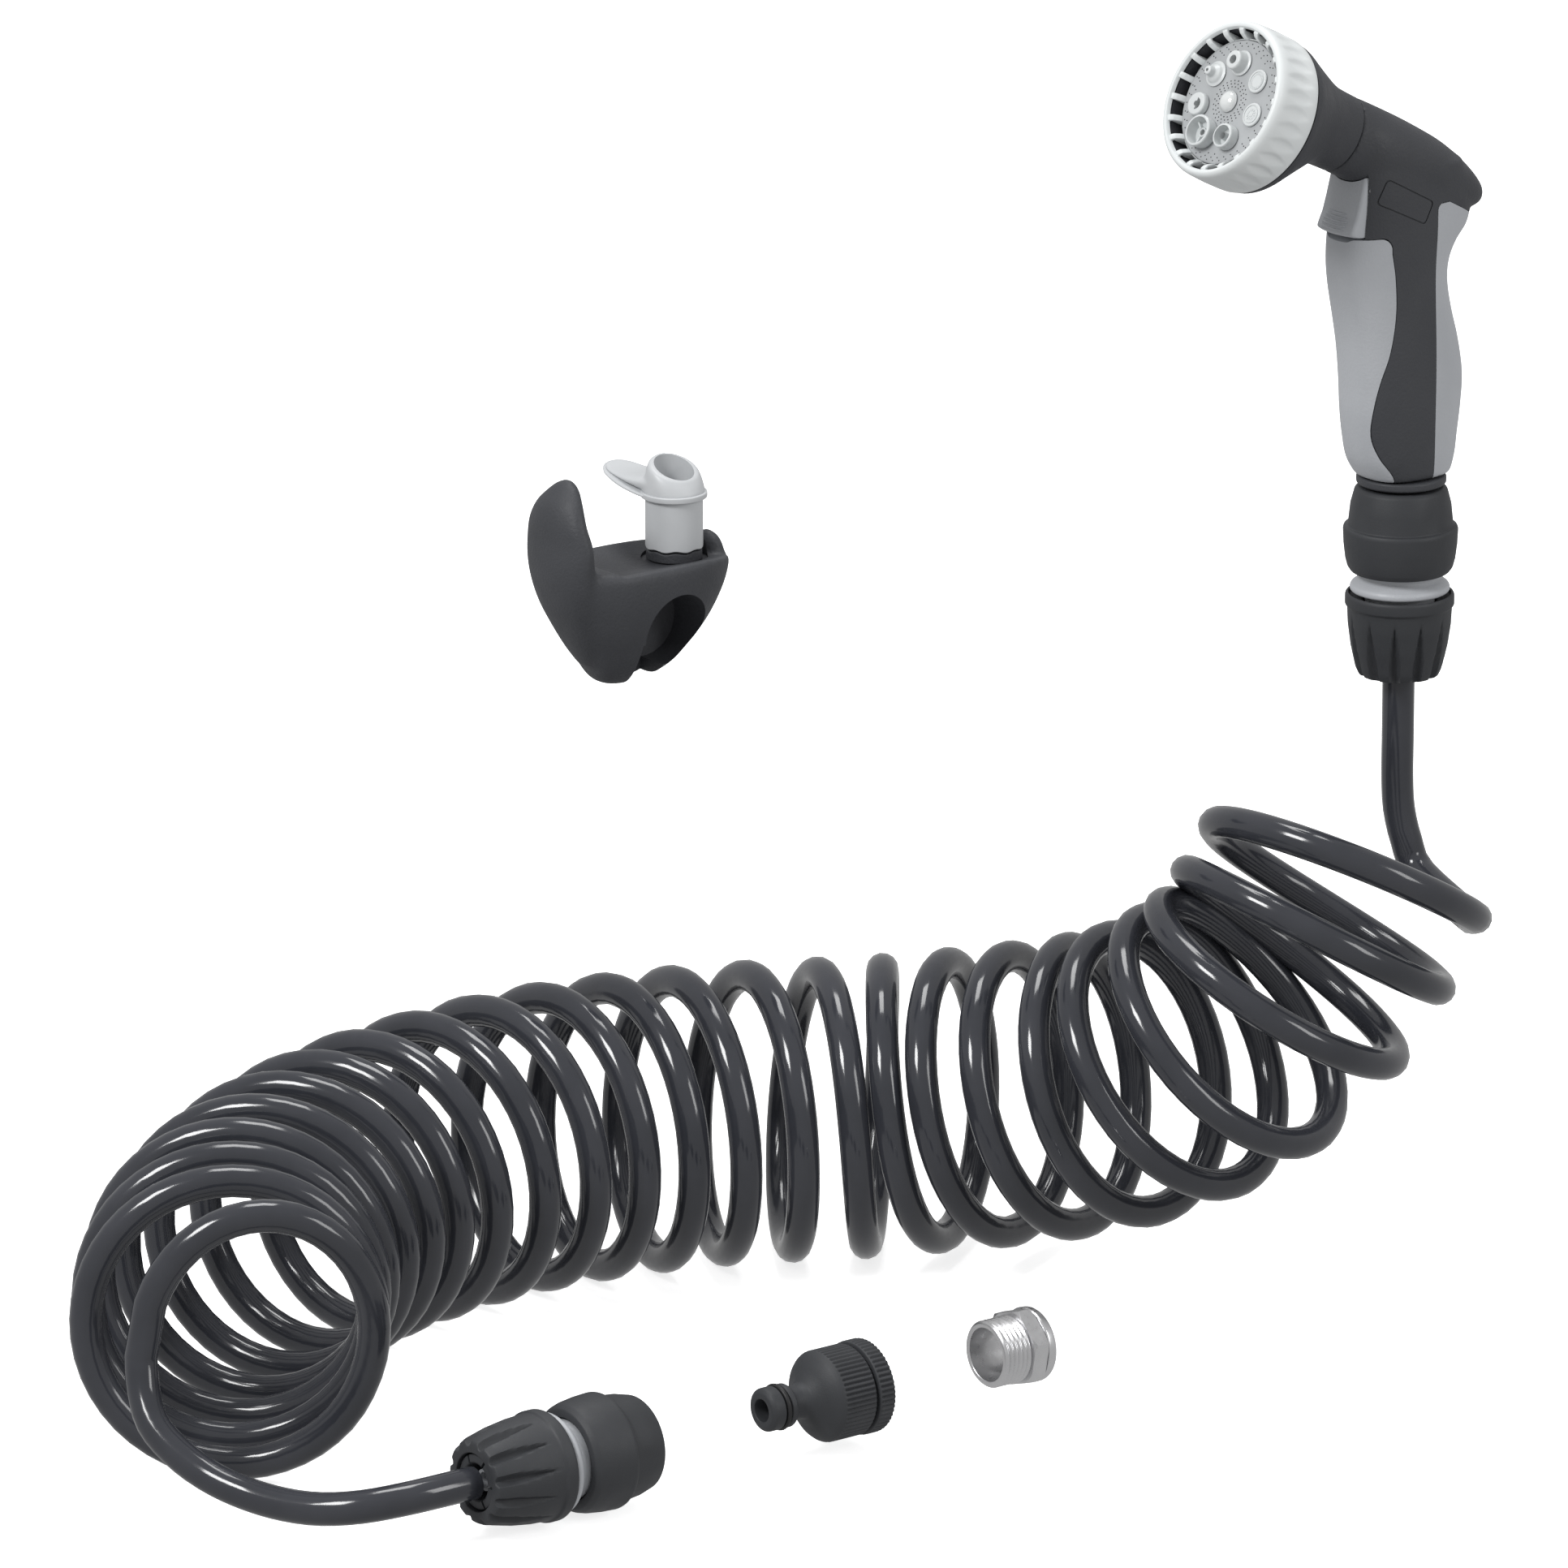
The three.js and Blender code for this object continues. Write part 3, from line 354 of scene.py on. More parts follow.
def eased(rows, key):
    """Row values at a key between rows, on a smooth curve through them; the first value is the key."""
    keys = [r[0] for r in rows]
    sign = 1 if keys[-1] > keys[0] else -1
    i = 0
    while i < len(rows) - 2 and sign * key > sign * keys[i + 1]:
        i += 1
    k0, k1 = keys[i], keys[i + 1]
    t = (key - k0) / (k1 - k0)

    def slope(j, c):
        if j == 0 or j == len(rows) - 1:
            a, b = (0, 1) if j == 0 else (j - 1, j)
        else:
            a, b = j - 1, j + 1
        return (rows[b][c] - rows[a][c]) / (keys[b] - keys[a])

    out = []
    for c in range(1, len(rows[0])):
        h = k1 - k0
        p0, p1, m0, m1 = rows[i][c], rows[i + 1][c], slope(i, c) * h, slope(i + 1, c) * h
        out.append(
            (2 * t**3 - 3 * t**2 + 1) * p0 + (t**3 - 2 * t**2 + t) * m0
            + (-2 * t**3 + 3 * t**2) * p1 + (t**3 - t**2) * m1
        )
    return out


def bulge(angle, a, b, p):
    """Point of a squared oval at an angle."""
    c, s = math.cos(angle), math.sin(angle)
    return (
        a * math.copysign(abs(c) ** (2 / p), c),
        b * math.copysign(abs(s) ** (2 / p), s),
    )


def lofted(rows, steps, columns, frame_of, p=2.0):
    """Skin through oval rows (key, half width, half height, ...): frame_of(key, values) places each."""
    keys = [rows[0][0] + (rows[-1][0] - rows[0][0]) * j / steps for j in range(steps + 1)]
    rings = []
    for key in keys:
        values = eased(rows, key)
        m = frame_of(key, values)
        rings.append([
            m @ Vector((*bulge(2 * math.pi * i / columns, max(values[0], 0.05), max(values[1], 0.05), p), 0))
            for i in range(columns)
        ])
    return sheeted(columns, len(rings), lambda i, j: rings[j][i])


def block(cx, cy, cz, sx, sy, sz, where=None):
    bm = bmesh.new()
    bmesh.ops.create_cube(bm, size=1)
    bmesh.ops.scale(bm, vec=(sx, sy, sz), verts=bm.verts)
    bmesh.ops.translate(bm, vec=(cx, cy, cz), verts=bm.verts)
    if where is not None:
        bmesh.ops.transform(bm, matrix=where, verts=bm.verts)
    return bm


def slab(outline, x0, x1):
    """Prism of a side-view outline [forward, height above the inlet], across X from x0 to x1."""
    bm = bmesh.new()
    rim = [bm.verts.new((x0, -q, INLET_Z + h)) for q, h in outline]
    face = bm.faces.new(rim)
    out = bmesh.ops.extrude_face_region(bm, geom=[face])
    moved = [g for g in out["geom"] if isinstance(g, bmesh.types.BMVert)]
    bmesh.ops.translate(bm, vec=(x1 - x0, 0, 0), verts=moved)
    bmesh.ops.recalc_face_normals(bm, faces=bm.faces)
    return bm


def loose(bm, name="working_shape"):
    """A working object from a mesh, not part of the result."""
    mesh = bpy.data.meshes.new(name)
    bm.to_mesh(mesh)
    bm.free()
    ob = bpy.data.objects.new(name, mesh)
    bpy.context.collection.objects.link(ob)
    return ob


def evaluated(ob):
    """The object's mesh with its modifiers applied, as a bmesh; the object is removed."""
    graph = bpy.context.evaluated_depsgraph_get()
    mesh = bpy.data.meshes.new_from_object(ob.evaluated_get(graph))
    bm = bmesh.new()
    bm.from_mesh(mesh)
    bpy.data.meshes.remove(mesh)
    old = ob.data
    bpy.data.objects.remove(ob)
    bpy.data.meshes.remove(old)
    return bm


def shaped(bm, *tools, how="DIFFERENCE"):
    """bm with each tool cut from it, joined to it, or kept in common with it. Tools are used up."""
    ob = loose(bm)
    cutters = []
    for k, tool in enumerate(tools):
        cutter = loose(tool, "working_tool")
        step = ob.modifiers.new(f"step_{k}", "BOOLEAN")
        step.operation = how
        step.solver = "EXACT"
        step.object = cutter
        cutters.append(cutter)
    bpy.context.view_layer.update()
    out = evaluated(ob)
    for cutter in cutters:
        mesh = cutter.data
        bpy.data.objects.remove(cutter)
        bpy.data.meshes.remove(mesh)
    return out


def doubled(bm):
    return bm.copy()


def gather(*parts):
    """Several shapes as one mesh, side by side."""
    out = bmesh.new()
    for part in parts:
        mesh = bpy.data.meshes.new("working_shape")
        part.to_mesh(mesh)
        part.free()
        out.from_mesh(mesh)
        bpy.data.meshes.remove(mesh)
    return out


def piece(name, bm, finish, body, nodes=(), crease=32):
    """Finishes a millimetre mesh: metres, shading, material, the body it rides on; the CAD parts it replaces
    are hidden.
    """
    bmesh.ops.scale(bm, vec=(MM, MM, MM), verts=bm.verts)
    for face in bm.faces:
        face.smooth = True
    for edge in bm.edges:
        if len(edge.link_faces) == 2 and edge.calc_face_angle(0) > math.radians(crease):
            edge.smooth = False
    mesh = bpy.data.meshes.new(name)
    bm.to_mesh(mesh)
    bm.free()
    mesh.materials.append(finish)
    ob = bpy.data.objects.new(name, mesh)
    bpy.context.collection.objects.link(ob)
    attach(ob, body)
    if nodes:
        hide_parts(*nodes)
    return ob


# ---- hose ----
# The coil's axis by number of turns, then the ends that run to the two connectors.
COIL_AXIS = [
    (0, 21.7, -31.3, -153.8), (1.5, 21.1, -48.7, -179.6), (3, 13, -67.8, -207.6),
    (4.5, -8.9, -82.1, -228.2), (6, -38.6, -95, -243), (9, -96.4, -131.8, -258.1),
    (12, -128.9, -194.5, -258.5), (15, -138.1, -263.9, -257.1), (18, -126, -338.7, -257.5),
    (21, -86.4, -403.1, -257.2), (24, -34.1, -446.3, -258.1), (25.5, -15.7, -466.3, -258.8),
]
GUN_END = [
    (0, 0, -111.2), (0, 0, -122), (0, 0, -134), (0, 0, -146), (0.7, 0.3, -157), (3.6, 1.2, -167.5),
    (9.4, 2.2, -177),
]
TAP_END = [
    (-33.6, -478.2, -268.5), (-26.6, -479.6, -277), (-17.5, -477.6, -283.8), (-6.5, -473, -289.9),
    (6, -467.6, -293.4), (19, -462.2, -294.6), (31, -456.4, -294), (41, -448.2, -292.2),
    (46.8, -437, -290.6), (48.7, -424, -290), (48.7, -411, -290),
]
PHASE = 3.021  # where the first turn starts round the axis
AXIS_TURNS = COIL_AXIS[-1][0]
FIRST_TURN, LAST_TURN = 0.47, 24.28
EASE_TURN = 23.7  # where the last half turn starts to leave the coil
LEAVING = Vector((24.5, 5.5, -1.5))  # how far it has left by its end


def coil_points():
    """Right-handed coil round its axis, in the frame carried along that axis."""
    per = 48  # points a turn
    count = int(LAST_TURN * per) + 2
    axis = [Vector(eased(COIL_AXIS, min(k / per, AXIS_TURNS))) for k in range(count + 1)]
    normal = Vector((0.606, 0.7955, 0))  # level, square to the first turns' axis
    out = []
    for k in range(count):
        tangent = (axis[k + 1] - axis[max(k - 1, 0)]).normalized()
        normal = (normal - tangent * normal.dot(tangent)).normalized()
        side = tangent.cross(normal)
        turns = k / per
        angle = 2 * math.pi * turns + PHASE
        if FIRST_TURN <= turns <= LAST_TURN:
            t = max(0.0, (turns - EASE_TURN) / (LAST_TURN - EASE_TURN))
            spoke = normal * math.cos(angle) + side * math.sin(angle)
            out.append(axis[k] + spoke * COIL_R + LEAVING * t * t * (3 - 2 * t))
    return out


def smooth_run(points, spacing):
    """Points a set distance apart on a curve through the given ones."""
    pts = [Vector(p) for p in points]
    pts = [pts[0] * 2 - pts[1]] + pts + [pts[-1] * 2 - pts[-2]]
    out = []
    for i in range(1, len(pts) - 2):
        a, b, c, d = pts[i - 1:i + 3]
        n = max(1, round((c - b).length / spacing))
        for k in range(n):
            t = k / n
            bow = (a * 2 - b * 5 + c * 4 - d) * t * t
            out.append(0.5 * (b * 2 + (c - a) * t + bow + (b * 3 - a - c * 3 + d) * t**3))
    out.append(pts[-2])
    return out


def hose():
    coil = coil_points()
    first, last = coil[:3], coil[-3:]
    lead = smooth_run([*GUN_END, *first], 4.0)
    tail = smooth_run([*last, *TAP_END], 4.0)
    route = lead[:-2] + coil[3:-3] + tail[2:]
    clean = [route[0]]
    for p in route[1:]:
        if (p - clean[-1]).length > 1.2:
            clean.append(p)
    data = bpy.data.curves.new("spiral_hose", "CURVE")
    data.dimensions = "3D"
    data.bevel_depth = HOSE_R * MM
    data.bevel_resolution = 5
    data.use_fill_caps = True
    line = data.splines.new("POLY")
    line.points.add(len(clean) - 1)
    for point, p in zip(line.points, clean):
        point.co = (*(p * MM), 1)
    line.use_smooth = True
    data.materials.append(HOSE)
    ob = bpy.data.objects.new("spiral_hose", data)
    bpy.context.collection.objects.link(ob)
    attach(ob, "gun")
    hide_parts("hose_lead_gun", "hose_coil", "hose_lead_tap")
    length = sum((b - a).length for a, b in zip(clean, clean[1:])) * MM
    return ob, length


# ---- quick connectors ----
def fluted_nut(where):
    """Clamping nut: a beaded rim, then pointed hollows that deepen toward the hose."""
    outline = rounded([
        (16.7, 36.0), (17.5, 36.0), (17.9, 36.8), (17.9, 40.0), (17.2, 40.6), (16.9, 46.5), (15.9, 54),
        (14.3, 61.2), (13.2, 63.6), (11.9, COUPLING_LEN), (9.4, COUPLING_LEN), (9.4, 55), (12.2, 50),
        (12.2, 38.2), (16.7, 37.6),
    ], 0.5)
    bm = spun(stepped(outline, 1.3), 192)
    tidy(bm)
    for v in bm.verts:
        r = math.hypot(v.co.x, v.co.y)
        if r < 11.5 or v.co.z < 43 or (v.co.z < 50.5 and r < 13):
            continue
        t = math.atan2(v.co.y, v.co.x)
        reach = min(max((v.co.z - 43.5) / 15.0, 0), 1)
        half = math.radians(7.6) * reach**0.8
        phase = (t / (2 * math.pi) * NUT_FLUTES) % 1 - 0.5
        off = abs(phase) * 2 * math.pi / NUT_FLUTES
        if half > 0 and off < half:
            depth = 2.1 * math.sqrt(reach) * (1 - (off / half) ** 1.7) * min((r - 11.3) / 2.4, 1)
            k = (r - depth) / r
            v.co.x *= k
            v.co.y *= k
    return tidy(bm, where)


def sleeve(where):
    """Release sleeve with a stepped collar and a few soft grip hollows ahead of it."""
    outline = rounded([
        (8.4, 0.15), (14.1, 0.0), (15.2, 1.1), (16.5, 6.0), (17.2, 12.6), (17.3, 13.2), (18.5, 13.4),
        (18.85, 14.4), (18.6, 19.5), (18.0, 24.3), (17.3, 27.0), (16.2, 28.6), (14.6, 28.9),
        (13.45, 28.6), (13.45, 2.0), (8.4, 2.0),
    ], 0.45)
    bm = spun(stepped(outline, 1.6), 120)
    tidy(bm)
    for v in bm.verts:
        r = math.hypot(v.co.x, v.co.y)
        if r > 14.5 and 1.5 < v.co.z < 13.1:
            t = math.atan2(v.co.y, v.co.x)
            wave = max(0.0, math.cos(t * 4)) ** 3
            k = (r - 0.45 * wave * math.sin(math.pi * (v.co.z - 1.5) / 11.6)) / r
            v.co.x *= k
            v.co.y *= k
    return tidy(bm, where)


def connector(prefix, where, body, sleeve_body):
    piece(prefix + "_grip_sleeve", sleeve(where), COUPLING, sleeve_body,
          [prefix + "_connector_sleeve"])
    core = rounded([
        (7.75, 7.6), (10.6, 7.6), (10.6, 27.2), (12.9, 27.4), (12.9, 30.6), (13.6, 31.4), (15.9, 33.0),
        (16.35, 33.8), (16.35, 34.8), (15.9, 35.4), (11.4, 35.6), (11.4, 46), (3.6, 46.4), (3.6, 60),
        (2.4, 60), (2.4, 21.4), (7.75, 21.2),
    ], 0.35)
    piece(prefix + "_barbed_core", tidy(spun(core, 72), where), GREY, body,
          [prefix + "_connector_core"])
    piece(prefix + "_clamp_nut", fluted_nut(where), COUPLING, body,
          [prefix + "_connector_nut"])
    jaws = tidy(spun(rounded([(5.75, 47), (8.2, 47), (9.15, 50.5), (8.9, 62.9), (6.4, 63.2),
        (5.75, 62.6)], 0.3), 72))
    slots = [block(7.5, 0, 60, 6, 0.9, 12, turn(60 * k)) for k in range(6)]
    jaws = shaped(jaws, gather(*slots))
    bmesh.ops.transform(jaws, matrix=where, verts=jaws.verts)
    piece(prefix + "_clamp_jaws", jaws, COUPLING, body, [prefix + "_connector_claws"])


# ---- tap fittings ----
NIPPLE = [
    (3.7, 0.0), (5.6, 0.0), (6.9, 0.9), (7.1, 1.6), (7.1, 4.9), (6.3, 5.1), (6.3, 7.3), (7.1, 7.5),
    (7.1, 9.2), (6.9, 9.6), (5.6, 10.2), (5.3, 10.6),
]


def knurl(bm, z0, z1, teeth, depth, ease=0.7):
    """Presses straight grooves into a turned piece between two heights."""
    for v in bm.verts:
        r = math.hypot(v.co.x, v.co.y)
        if r < 14.0 or not z0 < v.co.z < z1:
            continue
        t = math.atan2(v.co.y, v.co.x)
        wave = 0.5 - 0.5 * math.cos(t * teeth)
        fade = min(1.0, (v.co.z - z0) / ease, (z1 - v.co.z) / ease)
        k = (r - depth * fade * wave**1.6) / r
        v.co.x *= k
        v.co.y *= k


def tap_fittings():
    where = along((TAP_X, TAP_MALE_Y, TAP_Z), (0, 1, 0))
    teeth = 56
    outline = rounded([
        *NIPPLE, (5.3, 14.2), (6.0, 16.0), (8.6, 17.9), (11.6, 19.6), (13.6, 21.2), (14.5, 22.4),
        (14.9, 23.2), (14.9, 34.4), (14.5, 35.1), (13.1, 35.1), (13.1, 24), (3.7, 24),
    ], 0.5)
    body = tidy(spun(stepped(outline, 1.5), teeth * 8))
    knurl(body, 22.9, 35.2, teeth, 0.62)
    piece("tap_nipple", tidy(body, where), COUPLING, "tap_nipple", ["tap_nipple_body"])
    outline = rounded([
        (13.9, 36.0), (15.0, 36.2), (15.3, 37.0), (15.3, 41.4), (15.0, 42.2), (12.2, 42.2),
        (11.4, 41.4), (11.4, 27), (12.6, 27), (12.6, 36.0),
    ], 0.3)
    ring = tidy(spun(stepped(outline, 1.2), teeth * 8))
    knurl(ring, 36.5, 42.4, teeth, 0.62, 0.5)
    piece("tap_reducer", tidy(ring, where), COUPLING, "tap_nipple", ["tap_reducer_ring"])
    oring("tap_nipple_seal", where, 5.2, "tap_nipple", "tap_nipple_oring")

    where = along((TAP_X, ADAPTER_Y, TAP_Z), (0, 1, 0))
    thread = [(8.9, 0.0), (10.2, 0.0), (10.7, 0.5)]
    pitch = 1.75
    for k in range(6):
        z = 0.9 + pitch * k
        thread += [(11.0, z), (11.0, z + 0.25), (10.25, z + pitch * 0.5 + 0.1),
            (10.25, z + pitch * 0.5 + 0.3)]
    outline = thread[:-2] + [
        (10.4, 10.9), (10.4, 16.2), (12.1, 16.3), (12.3, 17.0), (12.15, 18.9), (11.7, 19.6),
        (10.4, 19.6), (10.4, 16.45), (8.7, 16.4), (8.7, 0.3),
    ]
    core = tidy(spun(rounded(outline, 0.16, 2), 96))
    six = bmesh.new()
    bmesh.ops.create_cone(six, cap_ends=True, segments=6, radius1=13.4, radius2=13.4, depth=5.6)
    bmesh.ops.rotate(six, verts=six.verts, matrix=Matrix.Rotation(math.radians(12), 3, "Z"))
    bmesh.ops.translate(six, vec=(0, 0, 13.3), verts=six.verts)
    dome = tidy(spun([(0, 10.5), (12.1, 10.5), (13.5, 11.3), (13.5, 15.3), (12.1, 16.1), (0, 16.1)], 96))
    six = shaped(six, dome, how="INTERSECT")
    bore = tidy(spun([(0, 5), (9.6, 5), (9.6, 20), (0, 20)], 72))
    six = shaped(six, bore)
    body = shaped(core, six, how="UNION")
    bmesh.ops.transform(body, matrix=where, verts=body.verts)
    piece("plated_adapter", body, SILVER, "adapter", ["thread_adapter"], crease=24)


def oring(name, where, z, body, node):
    """Round seal in a nipple's groove."""
    ring = bmesh.new()
    bmesh.ops.create_circle(ring, cap_ends=False, segments=16, radius=0.85)
    bmesh.ops.rotate(ring, verts=ring.verts, matrix=Matrix.Rotation(math.radians(90), 3, "X"))
    bmesh.ops.translate(ring, vec=(6.75, 0, z + 1.0), verts=ring.verts)
    bmesh.ops.spin(ring, geom=ring.verts[:] + ring.edges[:], cent=(0, 0, 0), axis=(0, 0, 1),
                   angle=2 * math.pi, steps=64, use_merge=True)
    piece(name, tidy(ring, where), RUBBER, body, [node])


def inlet():
    """Nipple under the grip, with the flange that shows between the grip and the connector."""
    tip = -17.6
    outline = [(r, z + tip) for r, z in NIPPLE] + [
        (5.3, -3.0), (7.4, -1.4), (7.8, 1.5), (14.1, 1.7), (14.75, 2.3), (14.75, 4.1), (14.2, 4.6),
        (3.7, 4.6),
    ]
    where = Matrix.Translation((0, 0, INLET_Z))
    skin = tidy(spun(rounded(outline, 0.35), 96), where)
    piece("grip_inlet", skin, DARK, "gun", ["inlet_nipple"])
    oring("grip_inlet_seal", where, tip + 5.2, "gun", "inlet_oring")


# ---- grip, barrel and trigger ----
# Grip by height above the inlet: [height, front, rear, half width, squareness].
GRIP = [
    (4.9, 14.4, -15.4, 12.9, 2.6), (7, 16.2, -16.4, 13.2, 2.6), (11.5, 18.8, -17.6, 13.5, 2.7),
    (17, 20.3, -18.4, 13.6, 2.7), (28, 21.8, -19.8, 13.7, 2.8), (38, 22.4, -20.3, 13.8, 2.8),
    (50, 23.6, -18.2, 13.7, 2.8), (60, 25.4, -15.4, 13.5, 2.8), (70, 27.4, -13.6, 13.4, 2.8),
    (77, 28.4, -14.4, 13.4, 2.8), (83, 28.6, -17.6, 13.5, 2.8), (88, 28.4, -22.0, 13.6, 2.8),
    (98, 26.0, -22.0, 13.6, 3.4), (110, 25.4, -18.0, 13.6, 3.4),
]
# Barrel by distance along its axis: [along, half width, half height].
BARREL = [
    (31.3, 10.6, 12.8), (26, 11.2, 12.9), (21.5, 12.8, 12.9), (12, 13.7, 12.8), (3, 13.9, 12.4),
    (-6, 13.7, 11.7), (-15, 12.6, 10.0), (-23, 10.8, 7.6), (-28.5, 8.4, 5.2), (-31.6, 5.2, 2.8),
    (-33, 2.0, 1.0),
]


def grip_shape(inset=0.0):
    def ring_frame(height, values):
        return Matrix.Translation((0, -(values[0] + values[1]) / 2, INLET_Z + height))

    rows = 90
    rings = []
    for j in range(rows + 1):
        height = GRIP[0][0] + (GRIP[-1][0] - GRIP[0][0]) * j / rows
        front, rear, half, square = eased(GRIP, height)
        m = ring_frame(height, (front, rear))
        rings.append([
            m @ Vector((*bulge(2 * math.pi * i / 72, half - inset, (front - rear) / 2 - inset, square), 0))
            for i in range(72)
        ])
    return sheeted(72, rows + 1, lambda i, j: rings[j][i])


def barrel_shape(grow=0.0):
    rows = [(s, w + grow, h + grow) for s, w, h in BARREL]
    if grow:
        rows = [(s + grow, w, h) for s, w, h in rows[:1]] + rows[1:-1] + [(rows[-1][0] - grow, *rows[-1][1:])]
    return lofted(rows, 64, 72, lambda s, v: on_barrel(s), 2.15)


def melted(bm, voxel, rounds):
    """One skin round overlapping shapes, with the creases between them relaxed into fillets."""
    ob = loose(bm)
    skin = ob.modifiers.new("skin", "REMESH")
    skin.mode = "VOXEL"
    skin.voxel_size = voxel
    bpy.context.view_layer.update()
    out = evaluated(ob)
    for _ in range(rounds):
        bmesh.ops.smooth_vert(
            out, verts=out.verts, factor=0.5, use_axis_x=True, use_axis_y=True, use_axis_z=True
        )
    return out


def arc(centre, radius, start, end, count=6):
    """Points of an arc in the side view, angles in degrees from forward toward up."""
    return [
        (centre[0] + radius * math.cos(math.radians(start + (end - start) * k / count)),
         centre[1] + radius * math.sin(math.radians(start + (end - start) * k / count)))
        for k in range(count + 1)
    ]


def curve_by_height(points, steps):
    """Smooth line through [forward, height] points, listed upward."""
    rows = [(h, q) for q, h in points]
    low, high = rows[0][0], rows[-1][0]
    heights = [low + (high - low) * k / steps for k in range(steps + 1)]
    return [(eased(rows, h)[0], h) for h in heights]


def front_outline(g):
    edge = [(10.2, 4), (12.4, 8), (16.6, 13.8), (19.2, 21), (19.5, 29), (18, 40), (15.4, 50), (13.8, 63),
        (14.3, 75),
            (15.6, 83)]
    line = [(q + g, h) for q, h in curve_by_height(edge, 44)]
    top = arc((19.6 + g, 84.6 - g), 4.0, 172, 96, 7)
    return [(60, 4), *line, *top, (26, 88.5 - g), (60, 87.4 - g)]


def tail_line(q):
    return BARREL_Z - INLET_Z - 7.0 + q * math.tan(PITCH)


def rear_outline(g):
    q = -2.7
    high = tail_line(q - 4) - g
    return [
        (-60, 3), (q - g, 3), (q - g, high - 3.4), *arc((q - g - 2.6, high - 2.9), 2.6, 0, 60, 5)[1:],
        (q - 5 - g, tail_line(q - 5) - g), (-60, tail_line(-60) - g),
    ]


def trigger_outline():
    return [(60, 83), (24.4, 87.9), (19.2, 88.4), (11.8, 94), (12.8, 107), (16, 112.5), (60, 112.5)]


def label_groove(side):
    """Thin rounded-rectangle groove on the side of the grip."""
    corners = [(17.9, 108.6), (-1.0, 98.3), (2.7, 91.1), (21.5, 100.3)]

    def ring(shrink):
        pts = []
        for k, corner in enumerate(corners):
            p = Vector(corner)
            a, b = Vector(corners[k - 1]) - p, Vector(corners[(k + 1) % 4]) - p
            p = p + (a.normalized() + b.normalized()) * shrink
            start, end = p + a.normalized() * 1.6, p + b.normalized() * 1.6
            for step in range(6):
                t = step / 5
                pts.append(tuple(start * (1 - t) ** 2 + p * 2 * t * (1 - t) + end * t * t))
        return pts

    lo, hi = (9, 30) if side > 0 else (-30, -9)
    band = shaped(slab(ring(0.0), lo, hi), slab(ring(0.42), lo - 1, hi + 1))
    return shaped(band, grip_shape(0.4), barrel_shape(-0.4))


def grip_parts():
    outer = melted(gather(grip_shape(), barrel_shape()), 0.8, 7)
    trim = on_barrel(31.35)
    flat = block(0, 0, 10, 60, 60, 20, trim)
    foot = block(0, 0, INLET_Z + 4.9 - 10, 60, 60, 20)
    outer = shaped(outer, flat, foot)
    front = shaped(doubled(outer), slab(front_outline(GAP / 2), -30, 30), how="INTERSECT")
    notch = slab([(22, 89.4), (34, 89.4), (34, 85.2)], -0.1, 0.1)
    for v in notch.verts:
        if v.co.z > INLET_Z + 87:
            v.co.x *= 90
    front = shaped(front, notch)
    rear = shaped(doubled(outer), slab(rear_outline(GAP / 2), -30, 30), how="INTERSECT")
    rear = shaped(rear, barrel_shape())
    body = shaped(outer, slab(front_outline(-GAP / 2), -30, 30), slab(rear_outline(-GAP / 2), -30, 30))
    pocket = shaped(slab(trigger_outline(), -TRIGGER_HALF_W - 0.35, TRIGGER_HALF_W + 0.35), barrel_shape())
    bore = [(0, -2), (6.2, -2), (6.2, 23.9), (3.6, 23.9), (3.6, 25.7), (6.2, 25.7), (6.2, 60), (0, 60)]
    chamber = tidy(spun(bore, 48), on_barrel(0))
    slot = block(0, -20.2, INLET_Z + 111.5, 5.4, 10.6, 9)
    guide = tidy(spun([(0, -13), (2.1, -13), (2.1, 0), (0, 0)], 32), on_barrel(0))
    water = tidy(
        spun([(0, -5), (4.6, -5), (4.6, BARREL_Z - INLET_Z + 2), (0, BARREL_Z - INLET_Z + 2)], 32),
        Matrix.Translation((0, 0, INLET_Z)),
    )
    body = shaped(body, pocket, chamber, slot, guide, water, label_groove(1), label_groove(-1))
    piece("grip_and_barrel", body, DARK, "gun", ["gun_body"], crease=30)
    piece("front_grip", front, GREY, "gun", ["front_grip_shell"], crease=30)
    piece("rear_grip", rear, GREY, "gun", ["rear_grip_insert"], crease=30)


# Trigger side view: [height, front, back] above the inlet.
TRIGGER_ROWS = [
    (89.3, 28.4, 22.4), (89.7, 30.2, 22.0), (90.6, 31.2, 21.8), (92, 30.7, 21.6), (95, 29.1, 20.8),
    (98, 28.1, 19.4), (101, 27.2, 17.2), (104, 26.4, 16.2), (107, 25.6, 16.4), (112.3, 24.3, 17.4),
]


